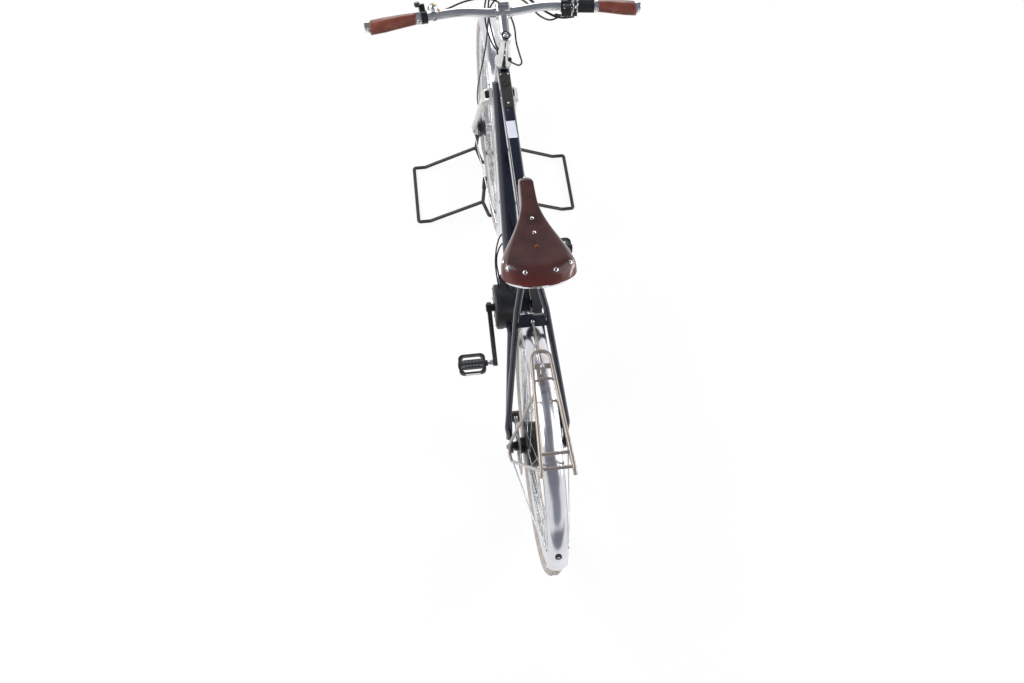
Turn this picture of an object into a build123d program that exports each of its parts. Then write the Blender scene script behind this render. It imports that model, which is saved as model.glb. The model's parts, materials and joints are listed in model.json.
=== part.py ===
"""Electric town bicycle with its front-wheel display stand, built piece by piece.

Millimetres. +Y is the direction of travel, +X the rider's right, +Z up.
The floor is z = 0 and the origin lies on it, midway between the two axles.
"""

from build123d import *

import os
from math import cos, pi, radians, sin, sqrt, tan

os.makedirs("parts", exist_ok=True)

# ---------------------------------------------------------------- driving dimensions
WHEELBASE = 1110.0
TYRE_R = 350.0            # 40-622 tyre
TYRE_W = 42.0
SPOKE_R = 0.9
SPOKES = 32
GUARD_R = 364.0           # outer radius of the mudguard's crown line
GUARD_W = 52.0
HEAD_ANGLE = 70.0         # steering axis, from the horizontal
FORK_RAKE = 50.0
HEAD_LOW = 405.0          # along the steering axis, from the foot of the rake
HEAD_HIGH = 612.0
HEAD_R = 20.0
STEERER_R = 14.30
RUN = 0.05                # running clearance of steerer, axles and pedal shafts
SEAT_ANGLE = 72.0
SEAT_TUBE_LEN = 608.0
SEAT_TUBE_R = 17.5
POST_R = 13.55
BB_DROP = 60.0            # bottom bracket below the axle line
CHAIN_STAY = 475.0
DROP_X = 72.0             # middle of each rear dropout plate
MOTOR_R = 66.0
CRANK_LEN = 170.0
CRANK_TILT = 12.0         # left crank points back and this much down
ARM_X = 76.0              # inner face of each crank arm
AXLE_R = 6.0
BELT_X = 50.0
FRONT_COG_R = 88.0
REAR_COG_R = 42.0
DISC_R = 80.0
SADDLE_Z = 1000.0
BAR_HALF = 338.0
BAR_R = 11.1
CLAMP_R = 12.7            # thicker middle of the bar, held by the stem
CABLE_R = 2.2
RACK_Z = 750.0
STAND_BAR_R = 6.0

REAR = Vector(0, -WHEELBASE / 2, TYRE_R)
FRONT = Vector(0, WHEELBASE / 2, TYRE_R)
BB = REAR + Vector(0, sqrt(CHAIN_STAY**2 - BB_DROP**2), -BB_DROP)

UP = Vector(0, -cos(radians(HEAD_ANGLE)), sin(radians(HEAD_ANGLE)))
AHEAD = Vector(0, sin(radians(HEAD_ANGLE)), cos(radians(HEAD_ANGLE)))
HEAD_FOOT = FRONT - AHEAD * FORK_RAKE
SEAT_UP = Vector(0, -cos(radians(SEAT_ANGLE)), sin(radians(SEAT_ANGLE)))

HEAD = Plane(origin=HEAD_FOOT, x_dir=(1, 0, 0), z_dir=UP)
HEAD_FRONT = Plane(origin=HEAD_FOOT, x_dir=(1, 0, 0), z_dir=AHEAD * -1)
SEAT = Plane(origin=BB, x_dir=(1, 0, 0), z_dir=SEAT_UP)


def on_axis(s, ahead=0.0, x=0.0):
    """Point s along the steering axis, moved ahead of it and to the right."""
    return HEAD_FOOT + UP * s + AHEAD * ahead + Vector(x, 0, 0)


def about(centre, radius, angle, x=0.0):
    """Point on a circle in the side view; the angle runs from +Y towards +Z."""
    a = radians(angle)
    return centre + Vector(x, radius * cos(a), radius * sin(a))


def side(centre, x=0.0):
    """Side-view plane through centre: local x is +Y, local y is +Z, normal +X."""
    return Plane(origin=(x, centre.Y, centre.Z), x_dir=(0, 1, 0), z_dir=(1, 0, 0))


def radial(centre, angle=90.0):
    """Plane holding the wheel's axle: local x is +X, local y points out at the angle."""
    a = radians(angle)
    return Plane(origin=centre, x_dir=(1, 0, 0), z_dir=(0, -sin(a), cos(a)))


def rod(points, radius, bend=None):
    """Add a round bar through the points, its corners bent to an arc."""
    with BuildLine() as run:
        if bend:
            FilletPolyline(*points, radius=bend)
        else:
            Polyline(*points)
    with BuildSketch(Plane(origin=run.line @ 0, z_dir=run.line % 0)) as section:
        Circle(radius)
    sweep(sections=section.sketch, path=run.line)


def cable(points, radius=CABLE_R):
    """Add a cable: straight runs joined by arcs as large as the two runs allow."""
    points = [Vector(point) for point in points]
    bends = []
    for before, here, after in zip(points, points[1:], points[2:]):
        run_in, run_out = here - before, after - here
        half_turn = radians(run_in.get_angle(run_out) / 2)
        bends.append(0.45 * min(run_in.length, run_out.length) / tan(half_turn))
    rod(points, radius, bends)


def taper(start, end, radius_0, radius_1):
    """Add a round tapered tube's outside between two points."""
    ends = []
    for point, radius in ((start, radius_0), (end, radius_1)):
        with BuildSketch(Plane(origin=point, x_dir=(1, 0, 0), z_dir=end - start)) as section:
            Circle(radius)
        ends.append(section.sketch)
    loft(sections=ends)


def beam(start, end, size_0, size_1, round_0, round_1):
    """Add a rounded box tube between two points in the middle plane."""
    ends = []
    for point, size, corner in ((start, size_0, round_0), (end, size_1, round_1)):
        with BuildSketch(Plane(origin=point, x_dir=(1, 0, 0), z_dir=end - start)) as section:
            RectangleRounded(size[0], size[1], corner)
        ends.append(section.sketch)
    loft(sections=ends)


def disc(plane, radius, amount, mode=Mode.ADD):
    """Add or cut a cylinder standing on the plane."""
    with BuildSketch(plane) as section:
        Circle(radius)
    extrude(to_extrude=section.sketch, amount=amount, mode=mode)


def cross_bar(y, half, z, radius):
    """Add a straight round bar across the bicycle."""
    disc(Plane(origin=(-half, y, z), z_dir=(1, 0, 0)), radius, 2 * half)


def hull(plane, circles, amount, mode=Mode.ADD):
    """Add or cut a plate whose outline is the hull of circles given as (x, y, radius)."""
    with BuildSketch(plane) as outline:
        for x, y, radius in circles:
            with Locations((x, y)):
                Circle(radius)
        make_hull()
    extrude(to_extrude=outline.sketch, amount=amount, mode=mode)


def spin(centre, outline, mode=Mode.ADD):
    """Add or cut a ring turned about the axle through centre; outline is (x, r) pairs."""
    with BuildSketch(radial(centre)) as section:
        with BuildLine() as edge:
            Polyline(*outline, close=True)
        make_face(edge.line)
    revolve(profiles=section.sketch, axis=Axis(centre, (1, 0, 0)), mode=mode)


# ---------------------------------------------------------------- frame tubes
TOP_HEAD = on_axis(574)
TOP_SEAT = BB + SEAT_UP * 566
DOWN_HEAD = on_axis(478)
DOWN_LOW = BB + Vector(0, 20, 20)
CUP_R = 22.0
CUP_TALL = 14.0
MOTOR = [(0, 0, MOTOR_R), (44, 34, 40)]     # drive unit's side outline, about the cranks


def cut_head():
    """Trim a tube where it meets the head tube and its two bearing cups."""
    disc(HEAD.offset(HEAD_LOW - 60), HEAD_R, HEAD_HIGH - HEAD_LOW + 120, Mode.SUBTRACT)
    for low in (HEAD_LOW, HEAD_HIGH - CUP_TALL):
        disc(HEAD.offset(low), CUP_R, CUP_TALL, Mode.SUBTRACT)


def cut_seat():
    """Trim a tube where it meets the seat tube."""
    disc(SEAT.offset(30), SEAT_TUBE_R, SEAT_TUBE_LEN + 120, Mode.SUBTRACT)


def cut_motor():
    """Trim a tube where it meets the drive unit."""
    hull(side(BB, -60), MOTOR, 120, Mode.SUBTRACT)


with BuildPart() as head_tube:
    disc(HEAD.offset(HEAD_LOW), HEAD_R, HEAD_HIGH - HEAD_LOW)
    for low in (HEAD_LOW, HEAD_HIGH - CUP_TALL):
        disc(HEAD.offset(low), CUP_R, CUP_TALL)
    chamfer(head_tube.edges().filter_by(GeomType.CIRCLE).group_by(SortBy.RADIUS)[-1], 1.2)
    disc(HEAD.offset(HEAD_LOW - 1), STEERER_R + RUN, HEAD_HIGH - HEAD_LOW + 2, Mode.SUBTRACT)
head_tube.part.label = "head_tube"

with BuildPart() as top_tube:
    beam(TOP_HEAD, TOP_SEAT, (32, 40), (30, 34), 9, 9)
    cut_head()
    cut_seat()
top_tube.part.label = "top_tube"

with BuildPart() as down_tube:
    beam(DOWN_HEAD, DOWN_LOW, (52, 60), (60, 72), 20, 22)
    cut_head()
    cut_motor()
down_tube.part.label = "down_tube"

with BuildPart() as seat_tube:
    disc(SEAT.offset(40), SEAT_TUBE_R, SEAT_TUBE_LEN - 40)
    # pinch collar with its slit ear at the back
    disc(SEAT.offset(SEAT_TUBE_LEN - 16), SEAT_TUBE_R + 3, 16)
    hull(SEAT.offset(SEAT_TUBE_LEN - 16), [(0, 0, 10), (0, -SEAT_TUBE_R - 8, 8)], 16)
    cut_motor()
    disc(SEAT.offset(SEAT_TUBE_LEN - 200), POST_R + RUN, 210, Mode.SUBTRACT)
    with BuildSketch(SEAT.offset(SEAT_TUBE_LEN - 40)) as slit:
        with Locations((0, -SEAT_TUBE_R - 8)):
            Rectangle(2, 30)
    extrude(to_extrude=slit.sketch, amount=60, mode=Mode.SUBTRACT)
seat_tube.part.label = "seat_tube"

PANEL_LONG = 112.0
PANEL_T = 2.4
with BuildPart() as top_tube_panel:
    # charcoal control plate let flat onto the top tube, with a round key
    run = (TOP_SEAT - TOP_HEAD).normalized()
    over = Vector(0, run.Z, -run.Y)
    fall = 3 / (TOP_SEAT - TOP_HEAD).length
    start = TOP_HEAD + run * 36 + over * (20 - fall * 36)
    plate = Plane(origin=start, x_dir=run - over * fall, z_dir=over + run * fall)
    with BuildSketch(plate) as face:
        with Locations((PANEL_LONG / 2, 0)):
            RectangleRounded(PANEL_LONG, 28, 5)
    extrude(to_extrude=face.sketch, amount=PANEL_T)
    chamfer(top_tube_panel.faces().sort_by(Axis.Z)[-1].edges(), 0.8)
    with BuildSketch(plate.offset(PANEL_T)) as key:
        with Locations((38, 0)):
            Circle(8.5)
            Circle(7.3, mode=Mode.SUBTRACT)
            Circle(6.6)
    extrude(to_extrude=key.sketch, amount=0.8)
top_tube_panel.part.label = "top_tube_panel"

# ---------------------------------------------------------------- motor and stays
COVER_X = -66.0
with BuildPart() as motor_housing:
    hull(side(BB, -46), MOTOR, 80)
    # left cover: a drum with a soft rim, a sunk ring and screw bosses
    spin(BB, [(-46, 0), (-46, 68), (COVER_X + 5, 68), (COVER_X + 1, 65), (COVER_X, 60), (COVER_X, 0)])
    spin(BB, [(COVER_X - 1, 44), (COVER_X - 1, 50), (COVER_X + 2, 50), (COVER_X + 2, 44)], Mode.SUBTRACT)
    with BuildSketch(side(BB, COVER_X - 1.5)) as bosses:
        with PolarLocations(55, 6, 30):
            Circle(3.5)
    extrude(to_extrude=bosses.sketch, amount=6)
    # right side: a stepped cover behind the pulley
    spin(BB, [(34, 0), (34, 58), (37, 55), (40, 36), (40, 0)])
    # mounting lugs that reach the frame above
    for lug_x in (-40, 24):
        hull(side(BB, lug_x), [(20, 62, 12), (62, 62, 12)], 14)
    disc(side(BB, -80), 12 + RUN, 160, Mode.SUBTRACT)
    add(down_tube.part, mode=Mode.SUBTRACT)
    add(seat_tube.part, mode=Mode.SUBTRACT)
motor_housing.part.label = "motor_housing"

with BuildPart() as chain_stays:
    for sx in (-1, 1):
        rod([
            BB + Vector(sx * 30, -58, 6),
            BB + Vector(sx * 30, -98, 10),
            REAR + Vector(sx * 66, 110, -8),
            REAR + Vector(sx * (DROP_X + 3), 24, -2),
        ], 9, 60)
        # hooded dropout plate: axle boss, foot of the chain stay, foot of the seat stay
        hull(side(REAR, sx * DROP_X - 4), [(0, 0, 19), (30, 0, 12), (12, 36, 10)], 8)
    cut_motor()
    disc(side(REAR, -90), AXLE_R + RUN, 180, Mode.SUBTRACT)
chain_stays.part.label = "chain_stays"

STAY_TOP = BB + SEAT_UP * 541
BRIDGE_ANGLE = 57.0
STAY_FOOT_X = DROP_X + 8
with BuildPart() as seat_stays:
    for sx in (-1, 1):
        rod([
            STAY_TOP + Vector(sx * 8, 0, 0),
            REAR + Vector(sx * 37, 222, 347),
            REAR + Vector(sx * STAY_FOOT_X, 27, 70),
            REAR + Vector(sx * (STAY_FOOT_X - 4), 12, 32),
        ], 8, 40)
    # arched bridge over the mudguard
    with BuildSketch(radial(REAR, BRIDGE_ANGLE)) as bridge:
        with Locations((0, GUARD_R + 18)):
            RectangleRounded(80, 32, 6)
        with Locations((0, GUARD_R - 32.5)):
            Circle(33, mode=Mode.SUBTRACT)
    extrude(to_extrude=bridge.sketch, amount=5, both=True)
    cut_seat()
    add(chain_stays.part, mode=Mode.SUBTRACT)
seat_stays.part.label = "seat_stays"

# ---------------------------------------------------------------- saddle
NOSE_Y = -131.0
NOSE_R = 17.5             # half width and roundness of the nose
SIDE_LONG = 239.0         # straightened length of each side, nose to widest point
BACK_HALF = 84.0
BACK_BULGE = 39.0         # the back edge is half an ellipse, this deep
HIDE_T = 4.5
RAIL_Z = SADDLE_Z - 58
RAIL_X = 22.0
VENT_Y = (-258, -300, -338)


def saddle_half(v):
    """Half width of the leather at v of its length, nose 0 to widest point 1."""
    flare = max(0.0, (v - 0.25) / 0.75)
    swell = (flare**2 * (3 - 2 * flare)) ** 1.1
    return NOSE_R + 12 * v + (BACK_HALF - NOSE_R - 12) * swell


def leather_point(v, a):
    """Point inside the stretched leather: a runs across, -1 at the left lower edge to 1."""
    x = (saddle_half(v) - HIDE_T) * sin(pi / 2 * a)
    bulge = (NOSE_R - HIDE_T) * (1 - v) ** 2 - (BACK_BULGE - HIDE_T) * v**2
    y = NOSE_Y - NOSE_R - SIDE_LONG * v + bulge * cos(pi / 2 * a)
    # tension line from nose to back, a hollow in the middle and a slight camber
    crown = SADDLE_Z - HIDE_T - 8 * (1 - v) - 9 * sin(pi * v)
    camber = (2 + 6 * v) * min(1.0, abs(a) / 0.72) ** 2.5
    skirt = (36 - 14 * v) * max(0.0, (abs(a) - 0.72) / 0.28) ** 1.2
    ends = 26 * max(0.0, 1 - v / 0.06) ** 1.6 + 22 * max(0.0, (v - 0.9) / 0.1) ** 1.6
    return Vector(x, y, crown - camber - (skirt**3 + ends**3) ** (1 / 3))


rows = [0.5 - 0.5 * cos(pi * k / 24) for k in range(25)]
cols = [k / 12 - 1 for k in range(25)]
hide = Face.make_surface_from_array_of_points(
    [[leather_point(v, a) for a in cols] for v in rows], tol=0.3)
with BuildPart() as saddle_leather:
    thicken(to_thicken=hide, amount=HIDE_T)
    for y in VENT_Y:
        disc(Plane(origin=(0, y, SADDLE_Z - 60)), 3, 80, Mode.SUBTRACT)
saddle_leather.part.label = "saddle_leather"

BACK_Y = NOSE_Y - NOSE_R - SIDE_LONG
with BuildPart() as saddle_frame:
    for sx in (-1, 1):
        rod([
            Vector(sx * 6, NOSE_Y - 32, SADDLE_Z - 32),
            Vector(sx * 9, NOSE_Y - 66, RAIL_Z),
            Vector(sx * RAIL_X, NOSE_Y - 122, RAIL_Z),
            Vector(sx * RAIL_X, NOSE_Y - 205, RAIL_Z),
            Vector(sx * 60, BACK_Y - 17, SADDLE_Z - 37),
        ], 3.5, 18)
    # cantle plate: a band along the back edge with two bag loops cut in it
    with BuildSketch(Plane.XY.offset(SADDLE_Z - 50)) as band:
        with Locations((0, BACK_Y)):
            Ellipse(BACK_HALF - 5.5, BACK_BULGE - 5.5)
            Ellipse(BACK_HALF - 9.5, BACK_BULGE - 9.5, mode=Mode.SUBTRACT)
        with Locations((0, BACK_Y + 40)):
            Rectangle(200, 100, mode=Mode.SUBTRACT)
    extrude(to_extrude=band.sketch, amount=24)
    with BuildSketch(Plane.XZ.offset(-BACK_Y)) as above:
        with BuildLine() as edge:
            arch = ThreePointArc((-80, SADDLE_Z - 43), (0, SADDLE_Z - 29), (80, SADDLE_Z - 43))
            Polyline(arch @ 1, (80, SADDLE_Z), (-80, SADDLE_Z), arch @ 0)
        make_face(edge.line)
    extrude(to_extrude=above.sketch, amount=60, mode=Mode.SUBTRACT)
    with BuildSketch(Plane.XZ.offset(-BACK_Y)) as loops:
        with Locations((-30, SADDLE_Z - 40), (30, SADDLE_Z - 40)):
            SlotOverall(28, 8)
    extrude(to_extrude=loops.sketch, amount=60, mode=Mode.SUBTRACT)
    # nose piece that the leather is pulled over
    with BuildSketch(Plane.XY.offset(SADDLE_Z - 38)) as nose:
        with Locations((0, NOSE_Y - 32)):
            RectangleRounded(20, 24, 8)
    extrude(to_extrude=nose.sketch, amount=18)
saddle_frame.part.label = "saddle_frame"

POST_TOP = BB + SEAT_UP * 676
with BuildPart() as seatpost:
    disc(SEAT.offset(SEAT_TUBE_LEN - 180), POST_R, 246)
    with BuildSketch(Plane.XY.offset(RAIL_Z - 10)) as cradle:
        with Locations((0, POST_TOP.Y)):
            RectangleRounded(50, 30, 6)
    extrude(to_extrude=cradle.sketch, amount=18)
    for sx in (-1, 1):
        disc(Plane(origin=(sx * RAIL_X, POST_TOP.Y - 40, RAIL_Z), z_dir=(0, 1, 0)), 3.5, 80, Mode.SUBTRACT)
    cross_bar(POST_TOP.Y, 33, RAIL_Z - 22, 4)
    hull(side(Vector(0, POST_TOP.Y, RAIL_Z - 22), -9), [(0, 0, 9), (0, 16, 12)], 18)
seatpost.part.label = "seatpost"

# ---------------------------------------------------------------- mudguards
GUARD_T = 1.6
GUARD_SAG = 13.0
GUARD_BEAD = 1.7
GUARD_END = 173.5
TAIL_ROUND = 15.0


def guard(centre, start, sweep_deg):
    """Add a mudguard band about a wheel: a pressed arc over the tyre with beaded edges."""
    half = GUARD_W / 2
    low = GUARD_R - GUARD_SAG
    with BuildSketch(radial(centre, start)) as section:
        with BuildLine() as edge:
            outer = ThreePointArc((-half, low), (0, GUARD_R), (half, low))
            Line(outer @ 1, (half - GUARD_T, low))
            inner = ThreePointArc((half - GUARD_T, low), (0, GUARD_R - GUARD_T), (-half + GUARD_T, low))
            Line(inner @ 1, outer @ 0)
        make_face(edge.line)
        with Locations((-half + GUARD_BEAD / 2, low), (half - GUARD_BEAD / 2, low)):
            Circle(GUARD_BEAD)
    revolve(profiles=section.sketch, axis=Axis(centre, (1, 0, 0)), revolution_arc=sweep_deg)


def round_tail(centre, angle, way):
    """Round the two corners of a mudguard's end; way is 1 where the angle grows out of it."""
    a = radians(angle)
    tip = about(centre, GUARD_R - 40, angle)
    out = Plane(origin=tip, x_dir=(1, 0, 0), z_dir=(0, cos(a), sin(a)))
    with BuildSketch(out) as waste:
        Rectangle(GUARD_W + 20, 2 * TAIL_ROUND)
        with Locations((0, -way * 2 * TAIL_ROUND)):
            RectangleRounded(GUARD_W + 2 * GUARD_BEAD, 4 * TAIL_ROUND, TAIL_ROUND, mode=Mode.SUBTRACT)
    extrude(to_extrude=waste.sketch, amount=80, mode=Mode.SUBTRACT)


with BuildPart() as rear_mudguard:
    guard(REAR, 3, GUARD_END - 3)
    round_tail(REAR, GUARD_END, 1)
    for sx in (-1, 1):
        rod([
            about(REAR, GUARD_R - GUARD_SAG - 1, 158, sx * GUARD_W / 2),
            about(REAR, 260, 159, sx * (GUARD_W / 2 + 18)),
            REAR + Vector(sx * (DROP_X + 8), -20, 10),
        ], 2, 30)
rear_mudguard.part.label = "rear_mudguard"

with BuildPart() as front_mudguard:
    guard(FRONT, 30, 176)
    round_tail(FRONT, 206, 1)
    round_tail(FRONT, 30, -1)
    for sx in (-1, 1):
        rod([
            about(FRONT, GUARD_R - GUARD_SAG - 1, 188, sx * GUARD_W / 2),
            about(FRONT, 260, 186, sx * (GUARD_W / 2 + 14)),
            FRONT + Vector(sx * 63, -9, -2),
        ], 2, 30)
front_mudguard.part.label = "front_mudguard"

GROMMET_ANGLE = 160.0
with BuildPart() as guard_grommet:
    # rubber ring round a stay bolt near the tail
    out = about(Vector(0, 0, 0), 1, GROMMET_ANGLE)
    spot = Plane(origin=about(REAR, GUARD_R - 1.5, GROMMET_ANGLE), x_dir=(1, 0, 0), z_dir=out)
    disc(spot, 8.5, 5)
    fillet(guard_grommet.edges().sort_by(Axis(spot.origin, out))[-1], 1.5)
    disc(spot.offset(3.5), 4.6, 3, Mode.SUBTRACT)
    add(rear_mudguard.part, mode=Mode.SUBTRACT)
guard_grommet.part.label = "guard_grommet"

# ---------------------------------------------------------------- rack
RACK_R = 4.8
RACK_FRONT = -475.0
RACK_BACK = -778.0
with BuildPart() as rear_rack:
    rod([
        Vector(-38, RACK_BACK - 8, RACK_Z - 5), Vector(-37, RACK_BACK + 8, RACK_Z),
        Vector(-21, RACK_FRONT, RACK_Z), Vector(21, RACK_FRONT, RACK_Z),
        Vector(37, RACK_BACK + 8, RACK_Z), Vector(38, RACK_BACK - 8, RACK_Z - 5),
    ], RACK_R, [12, 20, 20, 12])
    cross_bar(-732, 33, RACK_Z, 4)
    cross_bar(-767, 35, RACK_Z, 4)
    # bowed cross bar, and the flat plate bolted down to the mudguard
    with BuildLine() as bow:
        ThreePointArc((-24, -553, RACK_Z), (0, -548, RACK_Z + 5), (24, -553, RACK_Z))
    with BuildSketch(Plane(origin=bow.line @ 0, z_dir=bow.line % 0)) as section:
        Circle(3.4)
    sweep(sections=section.sketch, path=bow.line)
    with BuildSketch(Plane.XY.offset(RACK_Z - 1.5)) as plate:
        with Locations((0, -515)):
            RectangleRounded(42, 13, 4)
            with Locations((0, -9)):
                RectangleRounded(11, 18, 4)
    extrude(to_extrude=plate.sketch, amount=3)
    disc(Plane(origin=(0, -515, TYRE_R + GUARD_R - 3)), 4, RACK_Z - TYRE_R - GUARD_R + 2)
    # stay rod from the bridge, along over the mudguard
    rod([about(REAR, 385, BRIDGE_ANGLE), about(REAR, 388, 75), Vector(0, -512, RACK_Z - 2)], 2.6, 200)
    # bent legs down to the dropouts
    for sx in (-1, 1):
        rod([
            Vector(sx * 28, -584, RACK_Z - 3),
            REAR + Vector(sx * 79, -12, 52),
            REAR + Vector(sx * 81, -34, 28),
            REAR + Vector(sx * 78, -54, 32),
            Vector(sx * 37, -768, RACK_Z - 4),
        ], 4, [20, 18, 14])
        # foot bracket that carries the leg on the dropout
        hull(side(REAR, sx * 78.5 - 1.5), [(-6, 0, 8), (-34, 26, 7)], 3)
    disc(side(REAR, -90), AXLE_R + RUN, 180, Mode.SUBTRACT)
    add(seat_stays.part, mode=Mode.SUBTRACT)
    add(rear_mudguard.part, mode=Mode.SUBTRACT)
rear_rack.part.label = "rear_rack"

# ---------------------------------------------------------------- wheels
FLANGE_REAR = 67.0
FLANGE_FRONT = 26.0
RIM = [(-13.5, 315), (-13.5, 303), (-8, 292), (8, 292), (13.5, 303), (13.5, 315),
       (11.5, 315), (11.5, 304), (-11.5, 304), (-11.5, 315)]


def tyre_ring(centre):
    """Add a tyre: bead between the rim's walls, round sidewalls and crown."""
    half = TYRE_W / 2
    with BuildSketch(radial(centre)) as section:
        with BuildLine() as edge:
            a = Line((-11.3, 305), (-11.3, 316))
            b = ThreePointArc(a @ 1, (-half, 331), (-13, 345))
            c = ThreePointArc(b @ 1, (0, TYRE_R), (13, 345))
            d = ThreePointArc(c @ 1, (half, 331), (11.3, 316))
            e = Line(d @ 1, (11.3, 305))
            Line(e @ 1, a @ 0)
        make_face(edge.line)
    revolve(profiles=section.sketch, axis=Axis(centre, (1, 0, 0)))


def lace(centre, flange_r, left_x, right_x):
    """Add the crossed spokes from both hub flanges to the rim."""
    for n in range(SPOKES):
        pair, flange = n // 2, n % 2
        lead = 1 if pair % 2 else -1
        rim_angle = 360 / SPOKES * n
        hub_angle = rim_angle + lead * 58
        x = (left_x, right_x)[flange] + (2.2 if pair % 2 else -2.2)
        start = about(centre, flange_r, hub_angle, x)
        end = about(centre, 291.3, rim_angle, (-3, 3)[flange])
        disc(Plane(origin=start, z_dir=end - start), SPOKE_R, (end - start).length)


with BuildPart() as rear_tyre:
    tyre_ring(REAR)
rear_tyre.part.label = "rear_tyre"

with BuildPart() as front_tyre:
    tyre_ring(FRONT)
front_tyre.part.label = "front_tyre"

with BuildPart() as rear_rim:
    spin(REAR, RIM)
rear_rim.part.label = "rear_rim"

with BuildPart() as front_rim:
    spin(FRONT, RIM)
front_rim.part.label = "front_rim"

with BuildPart() as rear_spokes:
    lace(REAR, FLANGE_REAR, -31, 25)
rear_spokes.part.label = "rear_spokes"

with BuildPart() as front_spokes:
    lace(FRONT, FLANGE_FRONT, -27, 32)
front_spokes.part.label = "front_spokes"

with BuildPart() as rear_hub:
    # hub gear: a wide drum with two flanges, the belt cog on the right
    spin(REAR, [(-66, 0), (-66, 12), (-56, 14), (-52, 22), (-40, 22), (-36, 60), (-33, 66),
                (-29, 66), (-26, 61), (20, 61), (23, 66), (27, 66), (30, 60), (36, 26),
                (55, 26), (56, 15), (66, 13), (66, 0)])
    with BuildSketch(side(REAR, BELT_X - 5)) as cog:
        Circle(REAR_COG_R)
        with PolarLocations(REAR_COG_R + 0.6, 24):
            Circle(2.2, mode=Mode.SUBTRACT)
    extrude(to_extrude=cog.sketch, amount=10)
    # raised bands round the drum
    for band_x in (-16, 6):
        spin(REAR, [(band_x, 60), (band_x, 62.5), (band_x + 6, 62.5), (band_x + 6, 60)])
    disc(side(REAR, -84), AXLE_R, 168)
rear_hub.part.label = "rear_hub"

with BuildPart() as front_hub:
    spin(FRONT, [(-50, 0), (-50, 9), (-46, 9), (-46, 13), (-40, 20), (-30, 20), (-29, 25), (-25, 25),
                 (-23, 17), (28, 17), (30, 25), (34, 25), (36, 16), (46, 11), (46, 9), (50, 9), (50, 0)])
    disc(side(FRONT, -70), AXLE_R, 140)
front_hub.part.label = "front_hub"


def brake_disc(centre, x):
    """Add a vented brake disc on the hub's left side."""
    with BuildSketch(side(centre, x)) as face:
        Circle(DISC_R)
        Circle(DISC_R - 15, mode=Mode.SUBTRACT)
        with PolarLocations(0, 6):
            with Locations((44, 0)):
                Rectangle(48, 9)
        Circle(30)
        Circle(22.5, mode=Mode.SUBTRACT)
        with PolarLocations(DISC_R - 7.5, 18):
            Circle(2.6, mode=Mode.SUBTRACT)
    extrude(to_extrude=face.sketch, amount=2)


REAR_DISC_X = -54.0
FRONT_DISC_X = -40.0
with BuildPart() as rear_brake_disc:
    brake_disc(REAR, REAR_DISC_X)
rear_brake_disc.part.label = "rear_brake_disc"

with BuildPart() as front_brake_disc:
    brake_disc(FRONT, FRONT_DISC_X)
front_brake_disc.part.label = "front_brake_disc"

# ---------------------------------------------------------------- cranks, belt, pedals
BACK = Vector(0, -cos(radians(CRANK_TILT)), -sin(radians(CRANK_TILT)))
ARM_T = 13.0
PEDAL_R = 5.0

with BuildPart() as crank_arms:
    disc(side(BB, -ARM_X - 12), 12, 2 * ARM_X + 24)
    for sx, way in ((-1, BACK), (1, BACK * -1)):
        arm = Plane(origin=(sx * ARM_X, BB.Y, BB.Z), x_dir=way, z_dir=(sx, 0, 0))
        hull(arm, [(0, 0, 17), (40, 0, 13.5)], ARM_T)
        hull(arm, [(30, 0, 13.8), (CRANK_LEN, 0, 11.5)], ARM_T)
        disc(arm.offset(ARM_T), 13, 2)
        # long hollow along the outer face
        hull(arm.offset(ARM_T - 1.5), [(34, 0, 6.5), (CRANK_LEN - 28, 0, 5)], 4, Mode.SUBTRACT)
        disc(Plane(origin=BB + way * CRANK_LEN, z_dir=(sx, 0, 0)).offset(ARM_X - 1), PEDAL_R + RUN, 30, Mode.SUBTRACT)
crank_arms.part.label = "crank_arms"

with BuildPart() as front_pulley:
    with BuildSketch(side(BB, BELT_X - 5)) as cog:
        Circle(FRONT_COG_R)
        Circle(FRONT_COG_R - 12, mode=Mode.SUBTRACT)
        with PolarLocations(0, 5, 18):
            with Locations((46, 0)):
                Trapezoid(24, 64, 83, rotation=-90)
        Circle(26)
        Circle(12, mode=Mode.SUBTRACT)
        with PolarLocations(FRONT_COG_R + 0.6, 50):
            Circle(2.2, mode=Mode.SUBTRACT)
    extrude(to_extrude=cog.sketch, amount=10)
    disc(side(BB, BELT_X + 5), 24, ARM_X - BELT_X - 5)
    disc(side(BB, BELT_X - 5), 12, 60, Mode.SUBTRACT)
front_pulley.part.label = "front_pulley"


def belt_outline(grow):
    """Hull of both pulleys, grown by an offset, in the side view of the bottom bracket."""
    Circle(FRONT_COG_R + grow)
    with Locations((REAR.Y - BB.Y, REAR.Z - BB.Z)):
        Circle(REAR_COG_R + grow)
    make_hull()


def belt_band(x, wide, inner, outer):
    """Add a band round both pulleys between two offsets from them."""
    with BuildSketch(side(BB, x)) as band:
        belt_outline(outer)
    extrude(to_extrude=band.sketch, amount=wide)
    with BuildSketch(side(BB, x - 1)) as hollow:
        belt_outline(inner)
    extrude(to_extrude=hollow.sketch, amount=wide + 2, mode=Mode.SUBTRACT)


with BuildPart() as drive_belt:
    belt_band(BELT_X - 5, 10, 0.4, 4.0)
drive_belt.part.label = "drive_belt"

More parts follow.
